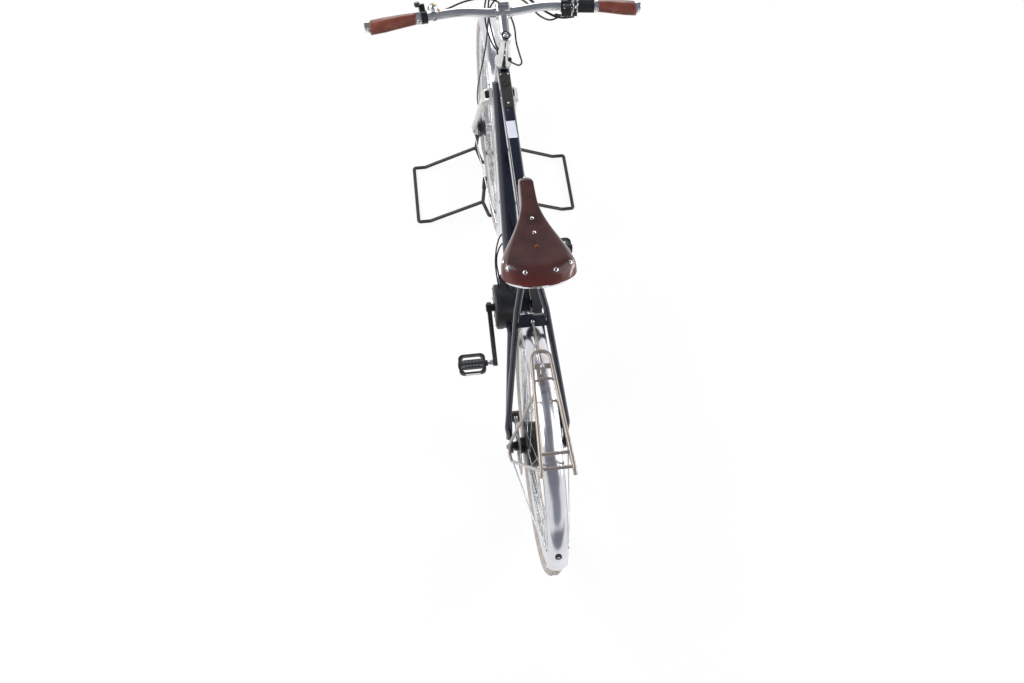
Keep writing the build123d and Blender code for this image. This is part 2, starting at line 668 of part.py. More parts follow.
GUARD_IN = 11.5
with BuildPart() as belt_guard:
    # open shell over the belt's upper run, its side wall cut low behind the pulley
    belt_band(BELT_X - 12, 24, GUARD_IN, GUARD_IN + 2.5)
    with BuildSketch(side(BB, BELT_X + 10)) as wall:
        belt_outline(GUARD_IN + 1)
    extrude(to_extrude=wall.sketch, amount=2)
    with BuildSketch(side(BB, 30)) as lower:
        with BuildLine():
            Polyline((-600, 66), (-430, 66), (-40, 46), (40, 20), (200, 20), (200, -260), (-600, -260), close=True)
        make_face()
    extrude(to_extrude=lower.sketch, amount=40, mode=Mode.SUBTRACT)
    disc(side(REAR, BELT_X), 22, 20, Mode.SUBTRACT)
belt_guard.part.label = "belt_guard"

CAGE_LONG = 80.0
CAGE_WIDE = 64.0
CAGE_TALL = 13.0


def pedal(sx, centre):
    """Add a cage pedal: a round-cornered ring and a ribbed barrel with its shaft."""
    middle = sx * 151
    deck = Plane(origin=(middle, centre.Y, centre.Z - CAGE_TALL / 2))
    with BuildSketch(deck) as cage:
        RectangleRounded(CAGE_LONG, CAGE_WIDE, 15)
        for way in (-1, 1):
            with Locations((0, way * 20)):
                Trapezoid(CAGE_LONG - 12, 13, 50, rotation=90 - way * 90, mode=Mode.SUBTRACT)
    extrude(to_extrude=cage.sketch, amount=CAGE_TALL)
    inner = sx * (ARM_X + 1)
    disc(Plane(origin=(inner, centre.Y, centre.Z), z_dir=(sx, 0, 0)), PEDAL_R, 36)
    disc(Plane(origin=(middle - sx * (CAGE_LONG / 2 + 6), centre.Y, centre.Z), z_dir=(sx, 0, 0)), 9, CAGE_LONG + 8)
    # grip ribs across the barrel
    for n in range(7):
        with Locations((middle - 30 + 10 * n, centre.Y, centre.Z)):
            Box(2, 22, CAGE_TALL + 3)


with BuildPart() as left_pedal:
    pedal(-1, BB + BACK * CRANK_LEN)
left_pedal.part.label = "left_pedal"

with BuildPart() as right_pedal:
    pedal(1, BB - BACK * CRANK_LEN)
right_pedal.part.label = "right_pedal"

# ---------------------------------------------------------------- fork
LEG_TOP_X = 41.0
LEG_X = 62.0
DROPOUT_X = 56.0
CROWN_DEEP = 34.0
with BuildPart() as fork:
    # crown in front view: sloping shoulders over the legs, arched under the head tube
    with BuildSketch(HEAD_FRONT.offset(-CROWN_DEEP / 2)) as crown:
        with BuildLine() as edge:
            top = Line((-24, 403.4), (24, 403.4))
            right = ThreePointArc((24, 403.4), (44, 396), (53, 380))
            Polyline(right @ 1, (53, 367), (29.5, 367))
            arch = ThreePointArc((29.5, 367), (0, 372), (-29.5, 367))
            Polyline(arch @ 1, (-53, 367), (-53, 380))
            ThreePointArc((-53, 380), (-44, 396), top @ 0)
        make_face(edge.line)
    extrude(to_extrude=crown.sketch, amount=CROWN_DEEP)
    # hollow in each shoulder
    with BuildSketch(HEAD.offset(388)) as pockets:
        for sx in (-1, 1):
            with Locations((sx * 36, 0)):
                RectangleRounded(13, 24, 4)
    extrude(to_extrude=pockets.sketch, amount=30, mode=Mode.SUBTRACT)
    for sx in (-1, 1):
        taper(on_axis(384, 0, sx * LEG_TOP_X), FRONT + Vector(sx * LEG_X, -3, 16), 11.8, 9)
        # forged dropout, hooked round the axle
        hull(side(FRONT, sx * DROPOUT_X - 5), [(0, 0, 13), (-4, 22, 11)], 10)
        disc(Plane(origin=FRONT + Vector(sx * LEG_X, -3, 16), z_dir=(0, 0, -1)), 9, 6)
    disc(HEAD.offset(398), STEERER_R, HEAD_HIGH - 398 + 16)
    disc(side(FRONT, -90), AXLE_R + RUN, 180, Mode.SUBTRACT)
fork.part.label = "fork"

# ---------------------------------------------------------------- stem and bar
BAR = on_axis(734.5, 70)
COLUMN_TOP = 750.0
CLAMP_OUT = 18.0
with BuildPart() as stem:
    # flared column, turned about the steering axis
    foot = HEAD_HIGH + 0.6
    with BuildSketch(HEAD_FRONT) as half_column:
        with BuildLine() as edge:
            floor = Line((0, foot), (CUP_R, foot))
            lip = Line(floor @ 1, (CUP_R, foot + 4))
            flare = ThreePointArc(lip @ 1, (16.4, foot + 46), (14, COLUMN_TOP - 12))
            cap = ThreePointArc(flare @ 1, (13.2, COLUMN_TOP - 2), (9, COLUMN_TOP))
            Line(cap @ 1, (0, COLUMN_TOP))
            Line((0, COLUMN_TOP), floor @ 0)
        make_face(edge.line)
    revolve(profiles=half_column.sketch, axis=Axis(HEAD_FOOT, UP))
    beam(on_axis(726, 4), BAR, (24, 26), (26, 26), 9, 9)
    # bar clamp with its bolt ears, split by a thin slot ahead of the bar
    disc(Plane(origin=BAR - Vector(17, 0, 0), z_dir=(1, 0, 0)), CLAMP_OUT, 34)
    with BuildSketch(Plane(origin=BAR, x_dir=(1, 0, 0), z_dir=AHEAD)) as ears:
        RectangleRounded(34, 50, 6)
    extrude(to_extrude=ears.sketch, amount=12)
    extrude(to_extrude=ears.sketch, amount=-8)
    with BuildSketch(Plane(origin=BAR, x_dir=(1, 0, 0), z_dir=AHEAD)) as slot:
        Rectangle(60, 60)
    extrude(to_extrude=slot.sketch, amount=1.2, mode=Mode.SUBTRACT)
    disc(Plane(origin=BAR - Vector(30, 0, 0), z_dir=(1, 0, 0)), CLAMP_R + RUN, 60, Mode.SUBTRACT)
    disc(HEAD.offset(HEAD_HIGH - 1), STEERER_R, 18, Mode.SUBTRACT)
stem.part.label = "stem"

BEND_X = 105.0            # the bar runs a little forward to here, then sweeps back
BEND = BAR + Vector(BEND_X, 8, 3)
TIP = BAR + Vector(BAR_HALF, -27, 10)
OUTWARD = (TIP - BEND).normalized()


def along_bar(x, sx, ahead=0.0, up=0.0):
    """Point beside the swept part of the bar at x, on the left or right."""
    point = BEND + (TIP - BEND) * ((x - BEND_X) / (BAR_HALF - BEND_X)) + Vector(0, ahead, up)
    return Vector(sx * point.X, point.Y, point.Z)


def bar_plane(x, sx):
    """Plane across the bar at x, facing outward: local x is up, local y -sx is ahead."""
    return Plane(origin=along_bar(x, sx), x_dir=(0, 0, 1), z_dir=(sx * OUTWARD.X, OUTWARD.Y, OUTWARD.Z))


def bore_bar(x, sx, long, radius=BAR_R):
    """Cut the bar's own hole through what is clamped on it."""
    disc(bar_plane(x, sx), radius, long, Mode.SUBTRACT)


with BuildPart() as handlebar:
    rod([along_bar(BAR_HALF, -1), along_bar(BEND_X, -1), BAR - Vector(32, 0, 0), BAR + Vector(32, 0, 0),
         along_bar(BEND_X, 1), along_bar(BAR_HALF, 1)], BAR_R, 240)
    disc(Plane(origin=BAR - Vector(24, 0, 0), z_dir=(1, 0, 0)), CLAMP_R, 48)
handlebar.part.label = "handlebar"

GRIP_OUT = 327.0
GRIP_IN = {-1: 214.0, 1: 237.0}     # the twist shifter takes room on the right
with BuildPart() as grips:
    # leather grips, round inside and drawn back into a palm wing outside
    for sx in (-1, 1):
        rings = []
        for k, back_half, tall_half, back in ((0, 14.4, 14.4, 0), (0.3, 16.4, 15.8, 1.2),
                                              (0.7, 20.4, 15.4, 4.4), (1, 21.6, 13.2, 5.8)):
            x = GRIP_IN[sx] + (GRIP_OUT - GRIP_IN[sx]) * k
            with BuildSketch(bar_plane(x, sx)) as ring:
                with Locations((0, sx * back)):
                    Ellipse(tall_half, back_half)
            rings.append(ring.sketch)
        loft(sections=rings)
        bore_bar(GRIP_IN[sx] - 5, sx, 160)
grips.part.label = "grips"

with BuildPart() as grip_clamps:
    for sx in (-1, 1):
        disc(bar_plane(GRIP_IN[sx] - 8, sx), 15.2, 7.7)
        hull(bar_plane(GRIP_OUT + 0.3, sx), [(0, 0, 12.6), (0, sx * 6, 12), (-1, sx * 14, 6)], 7)
        disc(bar_plane(GRIP_OUT + 7, sx), 13.4, 6)
    add(handlebar.part, mode=Mode.SUBTRACT)
grip_clamps.part.label = "grip_clamps"

LEFT_PERCH = 187.0
RIGHT_PERCH = 146.0
with BuildPart() as brake_levers:
    # left: a slim perch with its lever, and a thumb remote above the bar
    left = bar_plane(LEFT_PERCH, -1)
    hull(left, [(0, 0, 15.4), (-22, 26, 9)], 16)
    hull(left.offset(2), [(6, 12, 9), (14, 22, 7)], 14)
    disc(Plane(origin=along_bar(LEFT_PERCH + 22, -1, 20, 20), z_dir=(-0.3, 0.3, 0.9)), 4.2, 9)
    # right: a broader perch with its fluid box lying along the bar
    right = bar_plane(RIGHT_PERCH, 1)
    hull(right, [(0, 0, 15.4), (-22, -26, 9)], 16)
    hull(right.offset(2), [(9, -26, 8), (4, 16, 8), (-8, 20, 6)], 25)
    for sx, perch in ((-1, LEFT_PERCH), (1, RIGHT_PERCH)):
        rod([
            along_bar(perch + 8, sx, 30, -24), along_bar(perch + 30, sx, 46, -34),
            along_bar(perch + 80, sx, 48, -38), along_bar(perch + 136, sx, 52, -38),
        ], 4.6, [16, 60])
        bore_bar(perch - 10, sx, 60)
brake_levers.part.label = "brake_levers"

SHIFTER_IN = 174.0
with BuildPart() as twist_shifter:
    # body ring with its cable exit, then a ribbed rubber sleeve
    disc(bar_plane(SHIFTER_IN, 1), 17, 7)
    disc(bar_plane(SHIFTER_IN + 7.4, 1), 16.2, 8)
    hull(bar_plane(SHIFTER_IN + 1, 1), [(0, 0, 12), (-14, 12, 6)], 12)
    sleeve = bar_plane(SHIFTER_IN + 15.4, 1)
    with BuildSketch(sleeve) as ribs:
        Circle(14.8)
        with PolarLocations(14.6, 22):
            Circle(1.3)
    extrude(to_extrude=ribs.sketch, amount=39)
    disc(bar_plane(SHIFTER_IN + 6, 1), 14, 14)
    bore_bar(SHIFTER_IN - 5, 1, 90)
twist_shifter.part.label = "twist_shifter"

with BuildPart() as bell:
    band_at = 166.0
    disc(bar_plane(band_at, -1), 13.6, 9)
    seat = along_bar(band_at + 5, -1, 5, 10)
    disc(Plane(origin=seat), 3.5, 11)
    with BuildSketch(Plane(origin=seat + Vector(0, 0, 10), x_dir=(1, 0, 0), z_dir=(0, -1, 0))) as dome:
        with BuildLine() as edge:
            rim = Line((0, 0), (12.5, 0))
            bowl = CenterArc((0, 0), 12.5, 0, 90)
            Line(bowl @ 1, rim @ 0)
        make_face(edge.line)
    revolve(profiles=dome.sketch, axis=Axis(seat, (0, 0, 1)))
    hull(Plane(origin=seat + Vector(0, 0, 6)), [(0, 0, 5), (13, -6, 2.5)], 2.5)
    bore_bar(band_at - 10, -1, 40)
bell.part.label = "bell"

# ---------------------------------------------------------------- brakes and cables


def calliper(centre, disc_x, angle, inner, outer):
    """Add a brake calliper over the disc's rim: two walls and a bridge outside it."""
    a = radians(angle)
    low, high = disc_x - 1 - outer, disc_x + 3 + inner
    place = Plane(origin=about(centre, DISC_R - 4, angle, low), x_dir=(0, -sin(a), cos(a)), z_dir=(1, 0, 0))
    hull(place, [(-17, 4, 9), (17, 4, 9), (-11, -11, 8), (11, -11, 8)], high - low)
    with BuildSketch(side(centre, disc_x - 4)) as gap:
        Circle(DISC_R + 5)
    extrude(to_extrude=gap.sketch, amount=10, mode=Mode.SUBTRACT)
    # piston housings on the two walls
    disc(place.offset(-3), 9.5, 4)


with BuildPart() as rear_calliper:
    calliper(REAR, REAR_DISC_X, 27, 7, 5)
rear_calliper.part.label = "rear_calliper"

with BuildPart() as front_calliper:
    calliper(FRONT, FRONT_DISC_X, 128, 7, 10)
    add(fork.part, mode=Mode.SUBTRACT)
front_calliper.part.label = "front_calliper"

with BuildPart() as bar_cables:
    # left brake hose, round ahead of the stem and back into the column on the right
    cable([
        along_bar(184, -1, 18, -14), (-138, 350, 1042), (-95, 358, 1056), (-50, 362, 1060),
        (-8, 360, 1050), (20, 346, 1022), (31, 316, 1000), (30, 284, 984), (36, 262, 966),
        (43, 248, 946), (36, 254, 930), (20, 268, 928), (8, 277, 932),
    ])
    # right brake hose, over ahead of the stem and down to the fork's left leg
    cable([
        along_bar(145, 1, -14, -20), (118, 306, 1022), (92, 330, 1020), (72, 352, 1036), (46, 360, 1054),
        (18, 362, 1062), (-10, 364, 1054), (-26, 374, 1020), (-30, 384, 966), (-32, 396, 900), (-38, 408, 830),
        (-48, 424, 745), (-55, 455, 655), (-55, 490, 565), (-49, 506, 506), (-43, 508, 462), (-42, 502, 416),
    ])
    # two shifter and motor leads, out ahead and back into the column on the left
    for dx, dy, dz in ((0, 0, 0), (9, -3, 9)):
        cable([
            along_bar(178 - dx, 1, -14, -22), (148 - dx, 318 + dy, 1016 + dz / 2), (110 - dx, 340 + dy, 1022 + dz),
            (76 - dx, 366 + dy, 1040 + dz), (44 - dx / 2, 392 + dy, 1058 + dz), (6, 404 + dy, 1064 + dz),
            (-26 + dx, 394 + dy, 1056 + dz), (-41 + dx, 366 + dy, 1034 + dz), (-42 + dx, 336 + dy, 1006 + dz),
            (-36 + dx, 310 + dy, 984 + dz), (-26 + dx / 2, 294 + dy, 964 + dz), (-12, 284 + dy, 950 + dz),
        ])
    for other in (stem, handlebar, brake_levers, twist_shifter, bell, front_calliper):
        add(other.part, mode=Mode.SUBTRACT)
bar_cables.part.label = "bar_cables"

with BuildPart() as motor_cables:
    # two leads out of the down tube's left side and back into the drive unit
    for down in (0, 1):
        cable([
            (-22, 62 - 16 * down, 470 - 24 * down), (-36, 56 - 16 * down, 456 - 24 * down),
            (-47, 38 - 12 * down, 428 - 22 * down), (-54 + 4 * down, 8, 396 - 10 * down),
            (-53 + 7 * down, -20, 372 - 8 * down), (-50 + 7 * down, -44, 352 - 6 * down),
            (-48 + 7 * down, -60, 330),
        ])
    add(down_tube.part, mode=Mode.SUBTRACT)
    add(motor_housing.part, mode=Mode.SUBTRACT)
motor_cables.part.label = "motor_cables"

# ---------------------------------------------------------------- wheel stand
STAND_HALF = 277.0
STAND_NEAR = FRONT.Y - 103
STAND_FAR = FRONT.Y + 137
PEAK_Z = 92.0
PEAK_X = 48.0
with BuildPart() as wheel_stand:
    low = STAND_BAR_R
    for sx in (-1, 1):
        rod([
            Vector(0, STAND_NEAR, low), Vector(sx * 26, STAND_NEAR, low), Vector(sx * PEAK_X, STAND_NEAR, PEAK_Z),
            Vector(sx * 236, STAND_NEAR, low), Vector(sx * STAND_HALF, STAND_NEAR, low),
            Vector(sx * STAND_HALF, STAND_FAR, low), Vector(sx * 236, STAND_FAR, low),
            Vector(sx * PEAK_X, STAND_FAR, PEAK_Z), Vector(sx * 26, STAND_FAR, low), Vector(0, STAND_FAR, low),
        ], STAND_BAR_R, 8)
        for y, lean in ((STAND_NEAR, 12), (STAND_FAR, -12)):
            rod([Vector(sx * PEAK_X, y, PEAK_Z - 8), Vector(sx * 37, y + lean, 210)], STAND_BAR_R)
wheel_stand.part.label = "wheel_stand"

for piece in (
    head_tube, top_tube, top_tube_panel, down_tube, seat_tube, motor_housing, chain_stays, seat_stays,
    seatpost, saddle_leather, saddle_frame, rear_mudguard, front_mudguard, guard_grommet, rear_rack,
    rear_tyre, front_tyre, rear_rim, front_rim, rear_spokes, front_spokes, rear_hub, front_hub,
    rear_brake_disc, front_brake_disc, crank_arms, front_pulley, drive_belt, belt_guard,
    left_pedal, right_pedal, fork, stem, handlebar, grips, grip_clamps, brake_levers, twist_shifter, bell,
    rear_calliper, front_calliper, bar_cables, motor_cables, wheel_stand,
):
    export_step(piece.part, f"parts/{piece.part.label}.step")
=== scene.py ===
import bpy
import bmesh
import json
from math import radians, sin, cos, pi, atan2, hypot
from mathutils import Vector, Euler, Matrix


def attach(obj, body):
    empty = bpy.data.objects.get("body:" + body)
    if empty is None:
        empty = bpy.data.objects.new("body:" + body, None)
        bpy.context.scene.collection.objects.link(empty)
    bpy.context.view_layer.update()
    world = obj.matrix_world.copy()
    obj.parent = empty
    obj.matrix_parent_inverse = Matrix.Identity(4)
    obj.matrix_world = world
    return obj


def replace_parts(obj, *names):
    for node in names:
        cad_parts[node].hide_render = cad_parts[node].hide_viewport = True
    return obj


scene = bpy.context.scene
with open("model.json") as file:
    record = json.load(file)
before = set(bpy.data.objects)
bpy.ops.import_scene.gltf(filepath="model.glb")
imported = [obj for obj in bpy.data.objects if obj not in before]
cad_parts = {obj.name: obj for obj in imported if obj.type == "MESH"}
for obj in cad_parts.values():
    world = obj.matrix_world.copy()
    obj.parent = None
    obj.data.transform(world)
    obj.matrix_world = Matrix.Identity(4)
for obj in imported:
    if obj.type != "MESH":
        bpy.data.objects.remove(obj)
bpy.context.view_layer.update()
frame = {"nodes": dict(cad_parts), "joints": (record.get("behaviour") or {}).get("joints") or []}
nodes = frame["nodes"]
print("frame loaded:", len(nodes), "nodes")

mm = 0.001
jointAt = {j["name"]: Vector(j["pos_m"]) for j in frame["joints"]}
frontAxle = jointAt["front_wheel_spin"]
rearAxle = jointAt["rear_wheel_spin"]
crankAxis = jointAt["crank_spin"]
leftPedalAt = jointAt["left_pedal_spin"]
rightPedalAt = jointAt["right_pedal_spin"]

# steering axis: up along it, and square ahead of it
steerUp = Vector((0, -cos(radians(70)), sin(radians(70))))
steerAhead = Vector((0, sin(radians(70)), cos(radians(70))))
steerFoot = frontAxle - steerAhead * 50 * mm
seatUp = Vector((0, -cos(radians(72)), sin(radians(72))))
seatAhead = Vector((0, seatUp.z, -seatUp.y))
right = Vector((1, 0, 0))
upward = Vector((0, 0, 1))


def onAxis(s, ahead=0, x=0):
    # mm along the steering axis, ahead of it and to the right
    return steerFoot + steerUp * s * mm + steerAhead * ahead * mm + right * x * mm


def aboutWheel(axle, radius, angle, x=0):
    a = radians(angle)
    return axle + Vector((x, radius * cos(a), radius * sin(a))) * mm


def wheelWay(angle):
    # unit direction out from a wheel's middle
    return aboutWheel(Vector(), 1 / mm, angle)


# high behind the bicycle, a little to its left, looking down along it
cameraPlace = {
    "at": (-0.2113, -1.4180, 2.6507),
    "turn": (27.44, -0.91, -6.86),
    "lens": 31.64,
}


def addCamera(place):
    data = bpy.data.cameras.new("viewCamera")
    data.sensor_width = 36
    data.lens = place["lens"]
    data.clip_end = 60
    camera = bpy.data.objects.new("viewCamera", data)
    camera.location = place["at"]
    camera.rotation_euler = Euler([radians(a) for a in place["turn"]], "XYZ")
    scene.collection.objects.link(camera)
    scene.camera = camera


addCamera(cameraPlace)


def hexColour(code):
    # sRGB hex to linear
    parts = [int(code[i:i + 2], 16) / 255 for i in (0, 2, 4)]
    return [c / 12.92 if c <= 0.04045 else ((c + 0.055) / 1.055) ** 2.4 for c in parts] + [1]


def addNode(tree, kind, settings=None, links=None):
    # settings: socket or property values; links: socket name to (node, output)
    node = tree.nodes.new("ShaderNode" + kind)
    for key, value in (settings or {}).items():
        if isinstance(key, int) or key in node.inputs:
            node.inputs[key].default_value = value
        else:
            setattr(node, key, value)
    for key, (source, out) in (links or {}).items():
        tree.links.new(source.outputs[out], node.inputs[key])
    return node


def newMaterial(name):
    material = bpy.data.materials.new(name)
    material.use_nodes = True
    tree = material.node_tree
    tree.nodes.clear()
    output = addNode(tree, "OutputMaterial")
    coords = addNode(tree, "TexCoord")
    return material, tree, output, coords


def rampNode(tree, source, out, stops):
    # colour ramp with (place, colour or grey) stops
    ramp = addNode(tree, "ValToRGB", None, {"Fac": (source, out)})
    ramp.color_ramp.elements[0].position = stops[0][0]
    ramp.color_ramp.elements[1].position = stops[-1][0]
    for place, _ in stops[1:-1]:
        ramp.color_ramp.elements.new(place)
    for element, (_, value) in zip(ramp.color_ramp.elements, stops):
        element.color = hexColour(value) if isinstance(value, str) else (value, value, value, 1)
    return ramp


def noiseNode(tree, coords, scale, detail=3, stretch=None):
    # scale is in pattern repeats a metre; stretch is a per-axis factor
    source, out = coords, "Object"
    if stretch:
        source = addNode(tree, "Mapping", {"Scale": stretch}, {"Vector": (coords, "Object")})
        out = "Vector"
    return addNode(tree, "TexNoise", {"Scale": scale, "Detail": detail}, {"Vector": (source, out)})


def bumpNode(tree, source, out, strength, distance, under=None):
    links = {"Height": (source, out)}
    if under:
        links["Normal"] = (under, "Normal")
    return addNode(tree, "Bump", {"Strength": strength, "Distance": distance}, links)


def lookLinks(tone, rough, bump):
    return {"Base Color": (tone, "Color"), "Roughness": (rough, "Color"), "Normal": (bump, "Normal")}


def finishMaterial(tree, output, settings, links):
    shader = addNode(tree, "BsdfPrincipled", settings, links)
    tree.links.new(shader.outputs["BSDF"], output.inputs["Surface"])


def lacquer(name, dark, light, flake=0.0, metallic=0.0, roughness=(0.26, 0.36), coat=0.9):
    # sprayed and clear-coated tube: faint shade drift, orange peel, soft wipe marks
    material, tree, output, coords = newMaterial(name)
    drift = noiseNode(tree, coords, 9, 2)
    tone = rampNode(tree, drift, "Fac", [(0.3, dark), (0.7, light)])
    wipe = noiseNode(tree, coords, 60, 5, (1, 0.25, 1))
    rough = rampNode(tree, wipe, "Fac", [(0.35, roughness[0]), (0.7, roughness[1])])
    peel = noiseNode(tree, coords, 420, 1)
    bump = bumpNode(tree, peel, "Fac", 0.05, 0.0004)
    links = lookLinks(tone, rough, bump)
    if flake:
        grain = addNode(tree, "TexVoronoi", {"Scale": 2600.0}, {"Vector": (coords, "Object")})
        sparkle = bumpNode(tree, grain, "Distance", flake, 0.0002, bump)
        links["Normal"] = (sparkle, "Normal")
    finishMaterial(tree, output, {"Metallic": metallic, "Specular IOR Level": 0.3, "Coat Weight": coat,
                                  "Coat Roughness": 0.04}, links)
    return material


def bareMetal(name, dark, light, roughness, bumpStrength, scale, along=(1, 1, 1)):
    # metal with polishing lines along one way and hazy patches
    material, tree, output, coords = newMaterial(name)
    haze = noiseNode(tree, coords, 22, 4)
    tone = rampNode(tree, haze, "Fac", [(0.25, dark), (0.75, light)])
    lines = noiseNode(tree, coords, scale, 3, along)
    rough = addNode(tree, "Mix", {"data_type": "FLOAT", 0: 0.45}, {2: (haze, "Fac"), 3: (lines, "Fac")})
    roughRamp = rampNode(tree, rough, 0, [(0.3, roughness[0]), (0.7, roughness[1])])
    bump = bumpNode(tree, lines, "Fac", bumpStrength, 0.0002)
    finishMaterial(tree, output, {"Metallic": 1.0}, lookLinks(tone, roughRamp, bump))
    return material


def mouldedPlastic(name, dark, light, roughness=(0.42, 0.58), grain=1500, strength=0.12):
    # spark-grained moulding with slight shade changes
    material, tree, output, coords = newMaterial(name)
    drift = noiseNode(tree, coords, 30, 3)
    tone = rampNode(tree, drift, "Fac", [(0.3, dark), (0.7, light)])
    rough = rampNode(tree, drift, "Fac", [(0.3, roughness[0]), (0.7, roughness[1])])
    cells = addNode(tree, "TexVoronoi", {"Scale": float(grain)}, {"Vector": (coords, "Object")})
    bump = bumpNode(tree, cells, "Distance", strength, 0.0003)
    finishMaterial(tree, output, {}, lookLinks(tone, rough, bump))
    return material


def anodised(name, dark, light):
    # satin black metal, the edges a shade lighter through handling
    material, tree, output, coords = newMaterial(name)
    geometry = addNode(tree, "NewGeometry")
    edge = rampNode(tree, geometry, "Pointiness", [(0.50, 0.0), (0.58, 1.0)])
    scuff = noiseNode(tree, coords, 140, 6)
    worn = addNode(tree, "Math", {"operation": "MULTIPLY"}, {0: (edge, "Color"), 1: (scuff, "Fac")})
    tone = rampNode(tree, worn, 0, [(0.2, dark), (0.75, light)])
    rough = rampNode(tree, scuff, "Fac", [(0.35, 0.3), (0.7, 0.46)])
    bump = bumpNode(tree, scuff, "Fac", 0.05, 0.0002)
    finishMaterial(tree, output, {"Metallic": 0.35, "Coat Weight": 0.2, "Coat Roughness": 0.3},
                   lookLinks(tone, rough, bump))
    return material


# near-black navy gloss
navyLacquer = lacquer("navyLacquer", "0B0F1D", "10172B", roughness=(0.14, 0.24), coat=1.0)
# pale warm grey
forkLacquer = lacquer("forkLacquer", "B4B3AE", "C4C3BF", flake=0.05, metallic=0.25, roughness=(0.3, 0.42),
                      coat=0.6)
# brownish silver tube
rackLacquer = lacquer("rackLacquer", "8A8078", "A0968D", flake=0.05, metallic=0.55, roughness=(0.3, 0.42),
                      coat=0.5)
# powder-coated bar, fine pebble
standPowder = mouldedPlastic("standPowder", "1B1C1E", "262729", (0.4, 0.55), 900, 0.2)
# matt control plate
charcoalPad = mouldedPlastic("charcoalPad", "232323", "2C2B2A", (0.55, 0.7), 1800, 0.12)
# motor and switch mouldings
blackMoulding = mouldedPlastic("blackMoulding", "121314", "1C1D1F", (0.38, 0.52), 1400, 0.1)
# smooth hose outer
cableJacket = mouldedPlastic("cableJacket", "111112", "1B1B1C", (0.32, 0.44), 900, 0.04)
satinBlack = anodised("satinBlack", "0D0E0F", "4A4B4D")  # cranks, hub, callipers
# stem, bar, clamps
polishedAlloy = bareMetal("polishedAlloy", "C9CACB", "E4E4E3", (0.10, 0.22), 0.04, 500)
# rolled mudguard sheet
guardAlloy = bareMetal("guardAlloy", "D2D3D8", "E8E8EC", (0.12, 0.24), 0.03, 90, (40, 1, 1))
rimAlloy = bareMetal("rimAlloy", "CFD0D1", "E6E6E5", (0.2, 0.32), 0.02, 300)  # rims and hub
spokeSteel = bareMetal("spokeSteel", "9EA0A2", "C6C7C8", (0.2, 0.34), 0.04, 900)  # drawn wire
# ground disc faces
discSteel = bareMetal("discSteel", "8F9192", "B4B5B6", (0.24, 0.42), 0.2, 60, (1, 30, 30))
chromed = bareMetal("chromed", "D4D5D6", "EDEDED", (0.05, 0.12), 0.02, 300)  # saddle rails, bell
# bell button, small fittings
brass = bareMetal("brass", "B48A3C", "D8B25A", (0.16, 0.3), 0.05, 500)
copper = bareMetal("copper", "7E4023", "A65C34", (0.3, 0.45), 0.1, 600)  # dulled rivet


def waxedLeather(name, deep, body, worn, paintedEdgeSheen=None):
    # waxed hide: pores, fine creases, darker patches of handling
    material, tree, output, coords = newMaterial(name)
    patches = noiseNode(tree, coords, 26, 5)
    tone = rampNode(tree, patches, "Fac", [(0.28, deep), (0.52, body), (0.8, worn)])
    colour, colourOut = tone, "Color"
    if paintedEdgeSheen:
        # a lighter, redder band painted along the rolled edge: painted highlight standing in for the edge's
        # sheen
        glow = addNode(tree, "Attribute", {"attribute_name": "paintedSheenBand"})
        colour = addNode(tree, "Mix", {"data_type": "RGBA", 7: hexColour(paintedEdgeSheen)},
                         {0: (glow, "Fac"), 6: (tone, "Color")})
        colourOut = 2
    pores = addNode(tree, "TexVoronoi", {"Scale": 1100.0, "feature": "F1"}, {"Vector": (coords, "Object")})
    creases = addNode(tree, "TexVoronoi", {"Scale": 320.0, "feature": "DISTANCE_TO_EDGE"},
                      {"Vector": (coords, "Object")})
    creaseRamp = rampNode(tree, creases, "Distance", [(0.0, 0.0), (0.12, 1.0)])
    bump = bumpNode(tree, pores, "Distance", 0.12, 0.0004)
    bump = bumpNode(tree, creaseRamp, "Color", 0.1, 0.0004, bump)
    rough = rampNode(tree, patches, "Fac", [(0.3, 0.3), (0.7, 0.48)])
    finishMaterial(tree, output, {"Coat Weight": 0.8, "Coat Roughness": 0.12, "Specular IOR Level": 0.3}, {
        "Base Color": (colour, colourOut), "Roughness": (rough, "Color"), "Normal": (bump, "Normal")})
    return material


# dark waxed brown, with a lighter red-brown painted highlight along the rolled edge
saddleHide = waxedLeather("saddleHide", "301412", "3F1B17", "4C231D", "5C2018")
gripHide = waxedLeather("gripHide", "612C20", "74392A", "84493A")  # red-brown grip leather
linenThread = mouldedPlastic("linenThread", "4A2318", "5A2C1E", (0.7, 0.85), 2500, 0.3)  # waxed stitching


def tyreRubber(name, dark, light, band):
    # side: thin rings moulded round the wheel, dust in the low places
    material, tree, output, coords = newMaterial(name)
    dust = noiseNode(tree, coords, 45, 5)
    tone = rampNode(tree, dust, "Fac", [(0.3, dark), (0.72, light)])
    weave = noiseNode(tree, coords, 1300, 2)
    bump = bumpNode(tree, weave, "Fac", band, 0.0005)
    rough = rampNode(tree, dust, "Fac", [(0.3, 0.6), (0.7, 0.8)])
    finishMaterial(tree, output, {}, lookLinks(tone, rough, bump))
    return material


tanSidewall = tyreRubber("tanSidewall", "9A928C", "B3ACA6", 0.25)  # pale grey-brown woven sidewall
paleTread = tyreRubber("paleTread", "B9B3A8", "CCC7BD", 0.15)  # cream-grey tread rubber
beltRubber = tyreRubber("beltRubber", "141414", "1E1E1E", 0.2)  # toothed belt
blackRubber = tyreRubber("blackRubber", "101011", "191919", 0.15)  # grommet, sleeves, boots


leverSplit = {"bladeFrom": 0.343}  # metres ahead, where the silver blade starts


